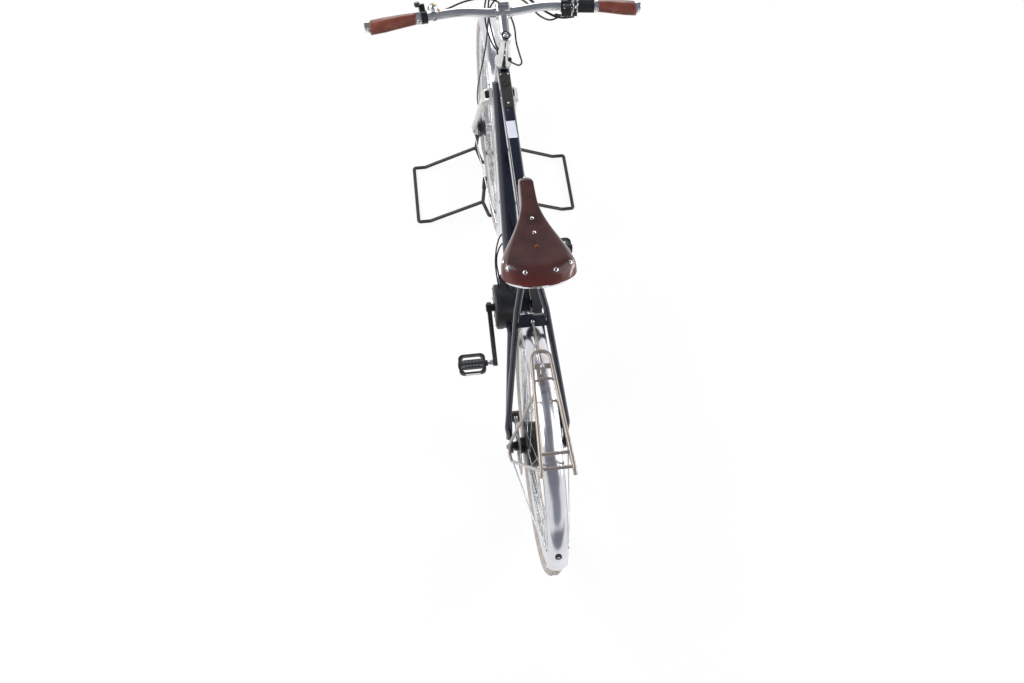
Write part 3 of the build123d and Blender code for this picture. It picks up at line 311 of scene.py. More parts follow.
def leverFinish():
    # one casting: black perch behind, silver blade ahead of the bar
    material, tree, output, coords = newMaterial("leverFinish")
    split = addNode(tree, "SeparateXYZ", None, {"Vector": (coords, "Object")})
    lengthwise = addNode(tree, "Math", {"operation": "GREATER_THAN", 1: leverSplit["bladeFrom"]},
                         {0: (split, "Y")})
    grain = noiseNode(tree, coords, 700, 3)
    tone = addNode(tree, "Mix", {"data_type": "RGBA", 6: hexColour("131415"), 7: hexColour("C9CACB")},
                   {0: (lengthwise, 0)})
    rough = rampNode(tree, grain, "Fac", [(0.3, 0.22), (0.7, 0.36)])
    bump = bumpNode(tree, grain, "Fac", 0.05, 0.0002)
    finishMaterial(tree, output, {}, {
        "Base Color": (tone, 2), "Metallic": (lengthwise, 0), "Roughness": (rough, "Color"),
        "Normal": (bump, "Normal")})
    return material


deckGrey = mouldedPlastic("deckGrey", "505154", "606164", (0.45, 0.6), 1200, 0.1)  # worn pedal deck
leverMetal = leverFinish()
stickerPaper = mouldedPlastic("stickerPaper", "DCDFEA", "E6E8F0", (0.5, 0.6), 700, 0.02)  # blank pale label
print("materials ready")

# finish of each carried-over part
dressing = [
    (navyLacquer, ["head_tube", "top_tube", "down_tube", "seat_tube", "chain_stays", "seat_stays"]),
    (charcoalPad, ["top_tube_panel"]),
    (blackMoulding, ["motor_housing", "belt_guard", "left_pedal", "right_pedal", "twist_shifter"]),
    (polishedAlloy, ["seatpost", "stem", "handlebar", "grip_clamps"]),
    (chromed, ["saddle_frame", "bell"]),
    (guardAlloy, ["rear_mudguard", "front_mudguard"]),
    (blackRubber, ["guard_grommet"]),
    (rackLacquer, ["rear_rack"]),
    (rimAlloy, ["rear_rim", "front_rim", "front_hub"]),
    (spokeSteel, ["rear_spokes", "front_spokes"]),
    (discSteel, ["rear_brake_disc", "front_brake_disc"]),
    (satinBlack, ["rear_hub", "crank_arms", "front_pulley", "rear_calliper", "front_calliper"]),
    (beltRubber, ["drive_belt"]),
    (forkLacquer, ["fork"]),
    (leverMetal, ["brake_levers"]),
    (cableJacket, ["bar_cables", "motor_cables"]),
    (standPowder, ["wheel_stand"]),
    (gripHide, ["grips"]),
    (saddleHide, ["saddle_leather"]),
    (tanSidewall, ["rear_tyre", "front_tyre"]),
]
for material, names in dressing:
    for slot in [slot for name in names for slot in nodes[name].material_slots]:
        slot.material = material
print("carried-over parts dressed")


def linkObject(name, bm, materials):
    mesh = bpy.data.meshes.new(name)
    bm.to_mesh(mesh)
    bm.free()
    for material in materials:
        mesh.materials.append(material)
    made = bpy.data.objects.new(name, mesh)
    scene.collection.objects.link(made)
    return made


def finishPiece(name, bm, body, materials, sharpAngle=35):
    # turn a bmesh into a piece that rides on a body
    bmesh.ops.remove_doubles(bm, verts=bm.verts, dist=2e-6)
    bmesh.ops.recalc_face_normals(bm, faces=bm.faces)
    piece = linkObject(name, bm, materials)
    piece.data.shade_smooth()
    piece.data.set_sharp_from_angle(angle=radians(sharpAngle))
    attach(piece, body)
    return piece


def facing(at, way, roll=right):
    # matrix whose z points the way given and whose x is near roll
    z = Vector(way).normalized()
    x = roll - z * roll.dot(z)
    if x.length < 1e-4:
        x = Vector((0, 1, 0)) - z * z.y
    x.normalize()
    turn = Matrix((x, z.cross(x), z)).transposed().to_4x4()
    return Matrix.Translation(at) @ turn


def addPart(bm, part, at, way, roll=right, material=0):
    # set a small shape made round the origin into a piece's mesh
    for face in part.faces:
        face.material_index = material
    bmesh.ops.transform(part, matrix=facing(at, way, roll), verts=part.verts)
    carrier = bpy.data.meshes.new("carrier")
    part.to_mesh(carrier)
    part.free()
    bm.from_mesh(carrier)
    bpy.data.meshes.remove(carrier)


def turned(profile, steps):
    # profile: (mm along the axis, radius mm) pairs turned full circle
    part = bmesh.new()
    chain = [part.verts.new((radius * mm, 0, along * mm)) for along, radius in profile]
    edges = [part.edges.new(pair) for pair in zip(chain, chain[1:])]
    bmesh.ops.spin(part, geom=chain + edges, cent=(0, 0, 0), axis=(0, 0, 1), dvec=(0, 0, 0), angle=2 * pi,
                   steps=steps, use_merge=True, use_duplicate=False)
    return part


def lathe(bm, profile, at, way, steps=32, material=0):
    addPart(bm, turned(profile, steps), at, way, material=material)


def capScrew(bm, at, way, radius, height, material=0):
    # button head with a hexagon socket
    socket = radius * 0.52
    part = turned([(-0.3, radius), (height * 0.45, radius), (height * 0.8, radius * 0.86),
                   (height, radius * 0.62), (height, socket), (height * 0.25, socket), (height * 0.25,
                                                                                        0)], 24)
    for vert in part.verts:
        if abs(hypot(vert.co.x, vert.co.y) - socket * mm) < 1e-6:
            sector = (atan2(vert.co.y, vert.co.x) + pi / 6) % (pi / 3) - pi / 6
            vert.co.xy = vert.co.xy * (cos(pi / 6) / cos(sector))
    addPart(bm, part, at, way, material=material)


def hexNut(bm, at, way, across, height, material=0):
    part = bmesh.new()
    bmesh.ops.create_circle(part, cap_ends=True, segments=6, radius=across / 2 * mm / cos(pi / 6))
    lift = bmesh.ops.extrude_face_region(part, geom=part.faces[:])
    top = [g for g in lift["geom"] if isinstance(g, bmesh.types.BMVert)]
    bmesh.ops.translate(part, vec=(0, 0, height * mm), verts=top)
    rim = [e for e in part.edges if all(v in top for v in e.verts)]
    bmesh.ops.bevel(part, geom=rim, offset=0.5 * mm, segments=2, profile=0.5, affect="EDGES", material=-1)
    addPart(bm, part, at, way, material=material)


def softBox(bm, at, way, size, corner, roll=right, segments=2, material=0):
    # block with rounded edges, size in mm along roll, across and the way
    part = bmesh.new()
    bmesh.ops.create_cube(part, size=mm)
    bmesh.ops.scale(part, vec=size, verts=part.verts)
    bmesh.ops.bevel(part, geom=part.edges[:], offset=corner * mm, segments=segments, profile=0.5,
                    affect="EDGES", material=-1)
    addPart(bm, part, at, way, roll, material)


# tyres: bead, woven side, shoulder line and a block tread
tyreShape = {
    "bead": (11.3, 305),
    "side": [(11.3, 316), (15.2, 317.6), (18.9, 321.5), (20.7, 327), (20.9, 332), (20.0, 337),
             (18.6, 340.2)],
    "crown": [(18.2, 340.6), (14.2, 344.9), (9.6, 348.2), (5.4, 350), (4.2, 348.7), (0, 349)],
    # rubber above treadR is tread, and blocks lie above blockR and outside blockX
    "treadR": 340.5, "blockR": 342.3, "blockX": 5.4, "sipeWall": 1.6, "sipeDeep": 1.1, "steps": 132,
}


def buildTyre(name, node, axle, body):
    shape = tyreShape
    half = [shape["bead"]] + shape["side"] + shape["crown"]
    mirrored = [(-x, r) for x, r in half]
    ring = mirrored + half[-2::-1] + mirrored[:1]
    bm = bmesh.new()
    lathe(bm, ring, axle, right, shape["steps"])
    bm.faces.ensure_lookup_table()
    pushed = []
    for face in bm.faces:
        middle = face.calc_center_median() - axle
        out = hypot(middle.y, middle.z)
        step = round(atan2(middle.z, middle.y) / (2 * pi) * shape["steps"] - 0.5)
        # tread rubber takes its own material
        if out > shape["treadR"] * mm:
            face.material_index = 1
        # sipes: every other face of the blocks is pushed in
        if out > shape["blockR"] * mm and abs(middle.x) > shape["blockX"] * mm and step % 2 == 0:
            pushed.append(face)
    bmesh.ops.inset_individual(bm, faces=pushed, thickness=shape["sipeWall"] * mm,
                               depth=-shape["sipeDeep"] * mm)
    piece = finishPiece(name, bm, body, [tanSidewall, paleTread], 30)
    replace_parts(piece, node)
    return piece


buildTyre("rearTyre", "rear_tyre", rearAxle, "rear_wheel")
buildTyre("frontTyre", "front_tyre", frontAxle, "front_wheel")
print("tyres ready")

# spoke nipples at the rim bed and one valve a wheel
wheelFittings = {"spokes": 32, "cross": 58, "headOut": 2.2, "seatX": 3, "rimBed": 292, "valveAngle": 282}


def buildNipples(name, axle, flangeR, flangeX, body):
    bm = bmesh.new()
    count = wheelFittings["spokes"]
    for n in range(count):
        pair, flange = divmod(n, 2)
        lead = 1 if pair % 2 else -1
        rimAngle = 360 / count * n
        hub = aboutWheel(axle, flangeR, rimAngle + lead * wheelFittings["cross"],
                         flangeX[flange] + lead * wheelFittings["headOut"])
        seatX = wheelFittings["seatX"] * (1 if flange else -1)
        seat = aboutWheel(axle, wheelFittings["rimBed"] - 0.7, rimAngle, seatX)
        way = hub - seat
        lathe(bm, [(-0.6, 0), (-0.6, 2.4), (0.9, 2.4), (1.3, 2.0), (9.5, 1.7), (10.6, 1.2), (10.6, 0)],
              seat, way, 8)
        # elbow head of the spoke on the hub flange
        lathe(bm, [(-1.6, 0), (-1.4, 1.6), (0, 2.0), (0.8, 0.9), (0.8, 0)], hub,
              right * (1 if flange else -1), 8)
    return finishPiece(name, bm, body, [rimAlloy], 40)


def buildValve(name, axle, body):
    bm = bmesh.new()
    foot = aboutWheel(axle, wheelFittings["rimBed"] + 1, wheelFittings["valveAngle"])
    way = axle - foot
    lathe(bm, [(0, 0), (0, 5.4), (1.6, 5.4), (2.2, 4.6), (3.0, 3.0), (24, 3.0), (24.5, 2.6)], foot, way, 16)
    lathe(bm, [(24, 2.6), (24, 4.1), (34, 4.1), (36.5, 2.8), (37, 0)], foot, way, 16, 1)
    return finishPiece(name, bm, body, [chromed, blackRubber], 40)


buildNipples("rearNipples", rearAxle, 67, (-31, 25), "rear_wheel")
buildNipples("frontNipples", frontAxle, 26, (-27, 32), "front_wheel")
buildValve("rearValve", rearAxle, "rear_wheel")
buildValve("frontValve", frontAxle, "front_wheel")
print("wheel fittings ready")

# stretched leather saddle: the sheet's numbers are those of the solid
saddleShape = {
    "noseY": -131, "noseR": 17.5, "sideLong": 239, "backHalf": 84, "backBulge": 41, "top": 1000,
    "across": 56, "along": 72, "thick": 4.5, "searchRows": 120, "searchHalf": 60,
    "rivets": [(-78, -362), (-68, -384), (-33, -402), (33, -402), (68, -384), (78, -362)],
    "eyelets": [(-258, "silver"), (-300, "silver"), (-338, "copper")],
}


def saddleHalf(v):
    flare = min(1.0, max(0.0, (v - 0.22) / 0.71))
    swell = (flare ** 2 * (3 - 2 * flare)) ** 1.1
    shape = saddleShape
    return shape["noseR"] + 12 * v + (shape["backHalf"] - shape["noseR"] - 12) * swell


def leatherPoint(v, a):
    shape = saddleShape
    x = saddleHalf(v) * sin(pi / 2 * a)
    bulge = shape["noseR"] * (1 - v) ** 2 - shape["backBulge"] * v ** 2
    y = shape["noseY"] - shape["noseR"] - shape["sideLong"] * v + bulge * cos(pi / 2 * a)
    crown = shape["top"] - 8 * (1 - v) - 9 * sin(pi * v)
    camber = (2 + 6 * v) * min(1.0, abs(a) / 0.72) ** 2.5
    skirt = (36 - 14 * v) * max(0.0, (abs(a) - 0.64) / 0.36) ** 1.5
    ends = 24 * max(0.0, 1 - v / 0.08) ** 1.8 + 28 * max(0.0, (v - 0.87) / 0.13) ** 1.8
    return Vector((x, y, crown - camber - (skirt ** 3 + ends ** 3) ** (1 / 3))) * mm


def leatherTop(x, y):
    # nearest point of the sheet under a plan position, and its outward normal
    rows, half = saddleShape["searchRows"], saddleShape["searchHalf"]
    spot = Vector((x, y)) * mm
    spots = [(v / rows, a / half) for v in range(rows + 1) for a in range(-half, half + 1)]
    v, a = min(spots, key=lambda place: (leatherPoint(*place).to_2d() - spot).length)
    here = leatherPoint(v, a)
    along = leatherPoint(max(0, v - 0.01), a) - here if v > 0.5 else here - leatherPoint(v + 0.01, a)
    across = leatherPoint(v, a + 0.02) - here if a < 0.9 else here - leatherPoint(v, a - 0.02)
    normal = across.cross(along).normalized()
    return here, normal if normal.z > 0 else -normal


def buildSaddle():
    shape = saddleShape
    bm = bmesh.new()
    bmesh.ops.create_grid(bm, x_segments=shape["across"], y_segments=shape["along"], size=1)
    band = bm.verts.layers.float.new("paintedSheenBand")
    for vert in bm.verts:
        a, v = vert.co.x, (vert.co.y + 1) / 2
        # rows crowd towards the two ends, where the sheet turns down
        v = 0.5 - 0.5 * cos(pi * v)
        a = a * (1.35 - 0.35 * a * a)
        vert.co = leatherPoint(v, a)
        # painted highlight band: it grows towards the rolled sides and both ends of the sheet
        edge = max((abs(a) - 0.62) / 0.38, (v - 0.86) / 0.14, (0.05 - v) / 0.05, 0)
        vert[band] = min(1.0, edge ** 1.5)
    bmesh.ops.recalc_face_normals(bm, faces=bm.faces)
    bmesh.ops.solidify(bm, geom=bm.faces[:], thickness=-shape["thick"] * mm)
    piece = finishPiece("saddleLeather", bm, "frame", [saddleHide], 50)
    soften = piece.modifiers.new("softEdge", "BEVEL")
    soften.width = 1.2 * mm
    soften.segments = 2
    soften.limit_method = "ANGLE"
    soften.angle_limit = radians(60)
    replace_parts(piece, "saddle_leather")
    return piece


def buildSaddleMetal():
    bm = bmesh.new()
    shape = saddleShape
    for x, y in shape["rivets"]:
        at, way = leatherTop(x, y)
        lathe(bm, [(-1, 0), (-1, 4.8), (0.7, 4.8), (1.5, 3.9), (1.8, 2.4), (1.2, 2.1), (1.2, 0)], at, way,
              20)
        # black disc in the rivet's hollow centre: painted shade
        lathe(bm, [(1.2, 2.0), (1.25, 0)], at, way, 12, 1)
    # nose rivets, three round the front edge
    for a in (-0.55, 0.0, 0.55):
        here = leatherPoint(0.012, a)
        out = Vector((sin(pi / 2 * a), cos(pi / 2 * a), 0.35))
        lathe(bm, [(-1, 0), (-1, 4.2), (0.6, 4.2), (1.4, 2.8), (1.7, 0)], here, out, 16)
    for y, metal in shape["eyelets"]:
        at, way = leatherTop(0, y)
        lathe(bm, [(-1, 2.3), (0.5, 2.4), (1.1, 3.2), (0.7, 4.3), (-0.6, 4.6)], at, way, 20,
              2 if metal == "copper" else 0)
        # disc across the eyelet's hole: black in the copper eyelet as painted shade, polished alloy in the
        # silver ones
        lathe(bm, [(-0.4, 2.4), (-0.4, 0)], at, way, 12, 1 if metal == "copper" else 3)
    return finishPiece("saddleMetal", bm, "frame",
                       [chromed, satinBlack, copper, polishedAlloy], 40)


buildSaddle()
buildSaddleMetal()
print("saddle ready")

# handlebar line, for what is wrapped or bolted round it
barShape = {"middle": (734.5, 70), "bendX": 105, "bend": (8, 3), "halfLong": 338, "tip": (-27, 10)}
barMiddle = onAxis(*barShape["middle"])
barBend = barMiddle + Vector((barShape["bendX"], *barShape["bend"])) * mm
barTip = barMiddle + Vector((barShape["halfLong"], *barShape["tip"])) * mm


def alongBar(x, hand, ahead=0, up=0):
    t = (x - barShape["bendX"]) / (barShape["halfLong"] - barShape["bendX"])
    point = barBend.lerp(barTip, t) + Vector((0, ahead, up)) * mm
    return Vector((hand * point.x, point.y, point.z))


def barWay(hand):
    out = (barTip - barBend).normalized()
    return Vector((hand * out.x, out.y, out.z))


# leather grips: round by the levers, drawn back into a palm wing at the end
gripShape = {
    "inner": {-1: 214, 1: 237}, "outer": 327,
    # share of the length, half depth back, half height, set back
    "stations": [(0, 13.6, 13.6, 0), (0.02, 14.4, 14.4, 0), (0.3, 16.4, 15.8, 1.2),
                 (0.7, 20.4, 15.4, 4.4), (0.98, 21.6, 13.2, 5.8), (1, 20.4, 12.2, 5.8)],
    "around": 56, "slices": 30, "stitchGap": 3.6,
}


def gripSection(k):
    stations = gripShape["stations"]
    for (k0, *low), (k1, *high) in zip(stations, stations[1:]):
        if k <= k1:
            t = (k - k0) / (k1 - k0)
            return [a + (b - a) * t for a, b in zip(low, high)]
    return stations[-1][1:]


def gripPoint(hand, k, turn, lift=0):
    # turn 0 is up, a quarter turn is to the rear
    x = gripShape["inner"][hand] + (gripShape["outer"] - gripShape["inner"][hand]) * k
    back, tall, away = gripSection(k)
    out = Vector((0, -(back + lift) * sin(turn) - away, (tall + lift) * cos(turn)))
    # the seam side is pinched a little where the hide is sewn
    pinch = max(0.0, sin(turn)) ** 24 * 1.1
    return alongBar(x, hand) + (out + Vector((0, pinch, 0))) * mm


def buildGrip(hand, name):
    shape = gripShape
    bm = bmesh.new()
    ring = bmesh.ops.create_circle(bm, cap_ends=False, segments=shape["around"], radius=1)["verts"]
    edges = list({e for v in ring for e in v.link_edges})
    loops = [ring]
    for _ in range(shape["slices"]):
        made = bmesh.ops.extrude_edge_only(bm, edges=edges)["geom"]
        ring = [g for g in made if isinstance(g, bmesh.types.BMVert)]
        edges = [g for g in made if isinstance(g, bmesh.types.BMEdge)]
        loops.append(ring)
    for step, loop in enumerate(loops):
        k = step / shape["slices"]
        k = 0.5 - 0.5 * cos(pi * k)
        for vert in loop:
            turn = atan2(vert.co.x, vert.co.y)
            vert.co = gripPoint(hand, k, turn)
    # both ends turn in to close on the bar
    for loop in (loops[0], loops[-1]):
        rim = [e for e in {e for v in loop for e in v.link_edges} if all(v in loop for v in e.verts)]
        made = bmesh.ops.extrude_edge_only(bm, edges=rim)["geom"]
        inner = [g for g in made if isinstance(g, bmesh.types.BMVert)]
        centre = sum((v.co for v in inner), Vector()) / len(inner)
        for vert in inner:
            vert.co = centre.lerp(vert.co, 0.84)
    return finishPiece(name, bm, "steering", [gripHide], 60)


def buildStitches():
    # a row of slanted stitches each side of the seam along the rear edge
    bm = bmesh.new()
    for hand in (-1, 1):
        long = gripShape["outer"] - gripShape["inner"][hand]
        count = int((long - 10) / gripShape["stitchGap"])
        for n in range(count):
            k = (5 + n * gripShape["stitchGap"]) / long
            for side in (-1, 1):
                turn = pi / 2 + side * 0.17
                here = gripPoint(hand, k, turn, 0.1)
                to = gripPoint(hand, k + 1.9 / long, pi / 2 + side * 0.05, 0.1)
                way = to - here
                outward = (here - alongBar(gripShape["inner"][hand] + long * k, hand)).normalized()
                softBox(bm, (here + to) / 2 + outward * 0.25 * mm, outward,
                        (way.length / mm + 0.8, 0.8, 0.7), 0.25, way, 1)
    return finishPiece("gripStitches", bm, "steering", [linenThread], 60)


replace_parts(buildGrip(-1, "leftGrip"), "grips")
buildGrip(1, "rightGrip")
buildStitches()
print("grips ready")

# screws and small metal of the steering
steeringMetal = {"faceplate": [(-12, 17.5), (12, 17.5), (-12, -17.5), (12, -17.5)], "screwR": 3.4}


def buildSteeringMetal():
    bm = bmesh.new()
    for x, up in steeringMetal["faceplate"]:
        at = onAxis(734.5 + up, 82.0, x)
        capScrew(bm, at, steerAhead, steeringMetal["screwR"], 3.2)
    # cap on the column with its expander screw, in a dark ring
    top = onAxis(750)
    lathe(bm, [(-0.5, 0), (-0.5, 11.2), (1.4, 11.2), (2.4, 10.2), (2.4, 8.6), (1.2, 8.2), (1.2, 0)], top,
          steerUp, 32, 1)
    lathe(bm, [(1.2, 0), (1.2, 7.4), (3.0, 7.2), (3.6, 6.2), (3.6, 0)], top, steerUp, 32)
    capScrew(bm, top + steerUp * 3.6 * mm, steerUp, 3.8, 2.6)
    # two pinch screws down the back of the column
    for s, ahead in ((676, -16.1), (706, -15.6)):
        capScrew(bm, onAxis(s, ahead), -steerAhead, 2.9, 2.2)
    # column's foot: thin dark seal over the bearing
    lathe(bm, [(0, 20.2), (0, 22.4), (1.4, 22.6), (1.8, 22.0), (1.8, 20.2)], onAxis(610.6), steerUp, 40, 1)
    # grommets where the leads enter the column
    for at, way in ((onAxis(656, 1.5, -15.6), Vector((-1, 0.1, 0.1))),
                    (onAxis(641, -13, 15.0), Vector((1, -0.7, 0.1)))):
        lathe(bm, [(-1.5, 5.6), (1.6, 5.6), (2.6, 4.8), (2.6, 3.0), (0, 2.8)], at, way, 20, 2)
    # end screws of the grip clamps, and their pinch screws under the wing
    for hand in (-1, 1):
        out = barWay(hand)
        end = alongBar(338, hand) + out * 2.0 * mm
        lathe(bm, [(-0.4, 9.6), (1.0, 9.6), (1.5, 9.0), (1.5, 5.2), (0.6, 4.8), (0.6, 0)], end, out, 28)
        capScrew(bm, end + out * 0.6 * mm, out, 3.4, 1.6)
        for x, ahead, up in ((331, -12.6, 4), (gripShape["inner"][hand] - 4.4, -13.6, 6)):
            capScrew(bm, alongBar(x, hand, ahead, up), Vector((0, -0.9, 0.42)), 2.3, 2.4)
    return finishPiece("steeringMetal", bm, "steering",
                       [polishedAlloy, satinBlack, blackRubber], 38)


buildSteeringMetal()


def buildBellTrim():
    # lip round the dome, centre rivet and the striker's knob
    bm = bmesh.new()
    seat = alongBar(171, -1, 5, 10)
    lathe(bm, [(9.6, 12.2), (9.2, 12.9), (9.7, 13.3), (10.3, 12.9), (10.2, 12.2)], seat, upward, 40)
    lathe(bm, [(22.2, 0), (22.2, 3.4), (23.0, 3.2), (23.9, 2.0), (24.2, 0)], seat, upward, 24, 1)
    knob = seat + Vector((13.5, -6.2, 7.2)) * mm
    stem = Vector((0.9, -0.42, 0))
    lathe(bm, [(-3.4, 0), (-2.6, 2.4), (0, 3.3), (2.6, 2.4), (3.4, 0)], knob, stem, 16, 1)
    return finishPiece("bellTrim", bm, "steering", [chromed, brass], 40)


buildBellTrim()


def buildSwitchgear():
    # clamp screws and hose boots of both perches, the thumb remote and the shifter's fittings
    bm = bmesh.new()
    for hand, x in ((-1, 195), (1, 150)):
        capScrew(bm, alongBar(x, hand, 17.4, 5), Vector((0, 0.96, 0.3)), 2.7, 2.4, 1)
        capScrew(bm, alongBar(x, hand, 16.6, -8), Vector((0, 0.9, -0.44)), 2.7, 2.4, 1)
    # left thumb remote: round pad with a small stud
    pad = alongBar(209, -1, 21, 24)
    padWay = Vector((-0.15, 0.2, 1))
    lathe(bm, [(-4, 0), (-4, 6.6), (2, 7.2), (4, 6.4), (4.6, 4.4), (4.2, 0)], pad, padWay, 28)
    lathe(bm, [(4.2, 0), (4.2, 2.4), (5.6, 2.2), (6.2, 1.2), (6.3, 0)], pad, padWay, 20, 1)
    # right fluid box: lid with four screws
    lid = alongBar(160, 1, -17, 12.2)
    lidWay = Vector((0, -0.1, 1))
    softBox(bm, lid, lidWay, (23, 15, 2.4), 0.9, barWay(1), 2)
    for dx in (-9, 9):
        for dy in (-5, 5):
            capScrew(bm, lid + Vector((dx, dy, 1.0)) * mm, lidWay, 1.5, 0.9, 1)
    # gear window of the shifter
    window = alongBar(178, 1, -13.4, 8.6)
    softBox(bm, window, Vector((0, -0.62, 0.78)), (5.4, 8, 2.6), 0.8, barWay(1), 2, 2)
    # silver collars of the shifter body
    for x, r in ((175, 17.2), (184.6, 16.6)):
        lathe(bm, [(0, r - 1.6), (0, r + 0.2), (0.5, r + 0.7), (2.4, r + 0.7), (2.9, r + 0.2),
                   (2.9, r - 1.6)], alongBar(x, 1), barWay(1), 48, 1)
    # boots over the hoses where they leave the levers
    for hand, points in ((-1, [(184, 18, -14), (172, 22, -15)]), (1, [(145, -14, -20), (131, -8, -21)])):
        a, b = [alongBar(x, hand, ahead, up) for x, ahead, up in points]
        long = (b - a).length / mm
        lathe(bm, [(0, 0), (0, 4.4), (2, 4.6), (3, 4.0), (long - 3, 3.4), (long, 2.5), (long, 0)], a,
              b - a, 20, 3)
    return finishPiece("switchgear", bm, "steering",
                       [blackMoulding, polishedAlloy, chromed, blackRubber], 38)


buildSwitchgear()
print("steering fittings ready")

# top tube: the control plate's screws and key, and a blank label further back
topTubeLine = {"head": onAxis(574), "seat": crankAxis + seatUp * 566 * mm, "drop": 3, "rise": 20}


def onTopTube(along, across=0, lift=0):
    # mm back from the head joint along the flat top of the tube
    run = topTubeLine["seat"] - topTubeLine["head"]
    fall = topTubeLine["drop"] * mm / run.length
    run = run.normalized()
    over = Vector((0, run.z, -run.y))
    surface = topTubeLine["head"] + over * (topTubeLine["rise"] * mm - fall * along * mm)
    return surface + run * along * mm + right * across * mm + over * lift * mm


topTubeRun = (onTopTube(200) - onTopTube(100)).normalized()
topTubeOver = Vector((0, topTubeRun.z, -topTubeRun.y))
topTubeTrim = {"screws": [(42, -9.5), (42, 9.5), (134, 0)], "label": (215, -1.5, 52, 24)}


def buildTopTubeTrim():
    bm = bmesh.new()
    for along, across in topTubeTrim["screws"]:
        capScrew(bm, onTopTube(along, across, 2.3), topTubeOver, 2.5, 0.9)
    # key in the plate: fine ring and dished cap
    key = onTopTube(74, 0, 3.2)
    lathe(bm, [(-0.5, 6.2), (0.35, 6.3), (0.45, 6.0), (0.1, 5.2), (-0.1, 2.0), (-0.1, 0)], key,
          topTubeOver, 40, 1)
    lathe(bm, [(-0.6, 8.6), (0.25, 8.5), (0.35, 8.1), (0.1, 7.3), (-0.6, 7.2)], key, topTubeOver, 40, 2)
    return finishPiece("topTubeTrim", bm, "frame", [chromed, charcoalPad, satinBlack], 40)


def buildLabel():
    # thin blank paper label, a touch skewed, its corners lifted
    along, across, long, wide = topTubeTrim["label"]
    bm = bmesh.new()
    bmesh.ops.create_grid(bm, x_segments=14, y_segments=7, size=0.5)
    for vert in bm.verts:
        u, v = vert.co.x, vert.co.y
        corner = (abs(u * 2) * abs(v * 2)) ** 6 * 0.5
        vert.co = onTopTube(along + u * long, across + v * wide + u * 1.2, 0.22 + corner)
    bmesh.ops.recalc_face_normals(bm, faces=bm.faces)
    bmesh.ops.solidify(bm, geom=bm.faces[:], thickness=0.12 * mm)
    return finishPiece("topTubeLabel", bm, "frame", [stickerPaper], 60)


buildTopTubeTrim()
buildLabel()


# mm up the seat line and out to the sides, metres for places
frameFittings = {
    "postUp": 676, "clampZ": 0.920, "clampOut": 33, "washerOut": 32.4,
    "earUp": 600, "earBack": 25, "earOut": 7.8,
    "bridge": (382, 57), "bridgeWay": (0, -0.84, 0.54), "plate": (0, -0.515, 0.7515),
    "tabX": 0.0835, "tabs": [(-0.567, 0.402), (-0.589, 0.376)], "axleOut": 76,
}


def buildFrameMetal():
    shape = frameFittings
    bm = bmesh.new()
    clamp = Vector((0, (crankAxis + seatUp * shape["postUp"] * mm).y, shape["clampZ"]))
    ear = crankAxis + (seatUp * shape["earUp"] - seatAhead * shape["earBack"]) * mm
    for hand in (-1, 1):
        out = right * hand
        # saddle clamp's nuts and washers across the post head, and the pinch screw behind the seat tube
        hexNut(bm, clamp + out * shape["clampOut"] * mm, out, 10, 4)
        lathe(bm, [(-1.2, 0), (-1.2, 8), (0.2, 8), (0.4, 7.6), (0.4, 0)],
              clamp + out * shape["washerOut"] * mm, out, 24)
        capScrew(bm, ear + out * shape["earOut"] * mm, out, 3.6, 3.4)
        for y, z in shape["tabs"]:
            capScrew(bm, Vector((hand * shape["tabX"], y, z)), out, 3.4, 2.6)
        # axle washers, nuts and ends on the rear dropouts
        end = rearAxle + out * shape["axleOut"] * mm
        lathe(bm, [(0, 6.2), (0, 11.5), (1.4, 11.5), (1.6, 11), (1.6, 6.2)], end, out, 28)
        hexNut(bm, end + out * 0.2 * mm, out, 15, 7)
        lathe(bm, [(0, 0), (3.2, 5.4), (5.0, 5.6), (5.4, 0)], end + out * 4.5 * mm, out, 20)
    # bridge screw, and the rack plate's washer and screw
    bridge = aboutWheel(rearAxle, *shape["bridge"])
    capScrew(bm, bridge + Vector((0, -5.2, 3.4)) * mm, Vector(shape["bridgeWay"]), 4.6, 3)
    plate = Vector(shape["plate"])
    lathe(bm, [(0, 0), (0, 6.2), (0.9, 6.2), (1.1, 5.8), (1.1, 0)], plate, upward, 24)
    capScrew(bm, plate + upward * mm, upward, 4.2, 3.2)
    return finishPiece("frameMetal", bm, "frame", [rimAlloy], 38)


buildFrameMetal()


def buildGuardMetal(name, axle, body, stayAngle, end):
    # screws of the stays, at the guard's edges and by the axle
    bm = bmesh.new()
    x, y, z = end
    for hand in (-1, 1):
        capScrew(bm, aboutWheel(axle, 349, stayAngle, hand * 27.6), right * hand, 3.0, 2.2)
        capScrew(bm, axle + Vector((hand * x, y, z)) * mm, right * hand, 3.6, 2.4)
    return finishPiece(name, bm, body, [rimAlloy], 38)


buildGuardMetal("rearGuardMetal", rearAxle, "frame", 158, (82, -20, 10))
buildGuardMetal("frontGuardMetal", frontAxle, "steering", 188, (65, -9, -2))


def buildGrommetPin():
    # silver slotted pin in the tail grommet
    bm = bmesh.new()
    way = wheelWay(160)
    at = aboutWheel(rearAxle, 366, 160)
    lathe(bm, [(-0.5, 0), (-0.5, 4.3), (0.6, 4.2), (1.0, 3.4), (1.0, 0)], at, way, 24)
    # the slot is a black bar laid on the head: painted shade
    softBox(bm, at + way * mm, way, (6.4, 1.1, 0.5), 0.2, right, 1, 1)
    return finishPiece("grommetPin", bm, "frame", [chromed, satinBlack], 40)


buildGrommetPin()
print("frame fittings ready")

# screw rings as (count, radius, first angle, mm out)
driveFittings = {"armEnd": 91, "pulley": (5, 80, 18, 55), "cover": (6, 55, 30, -67.5), "leads": [-48, -41]}


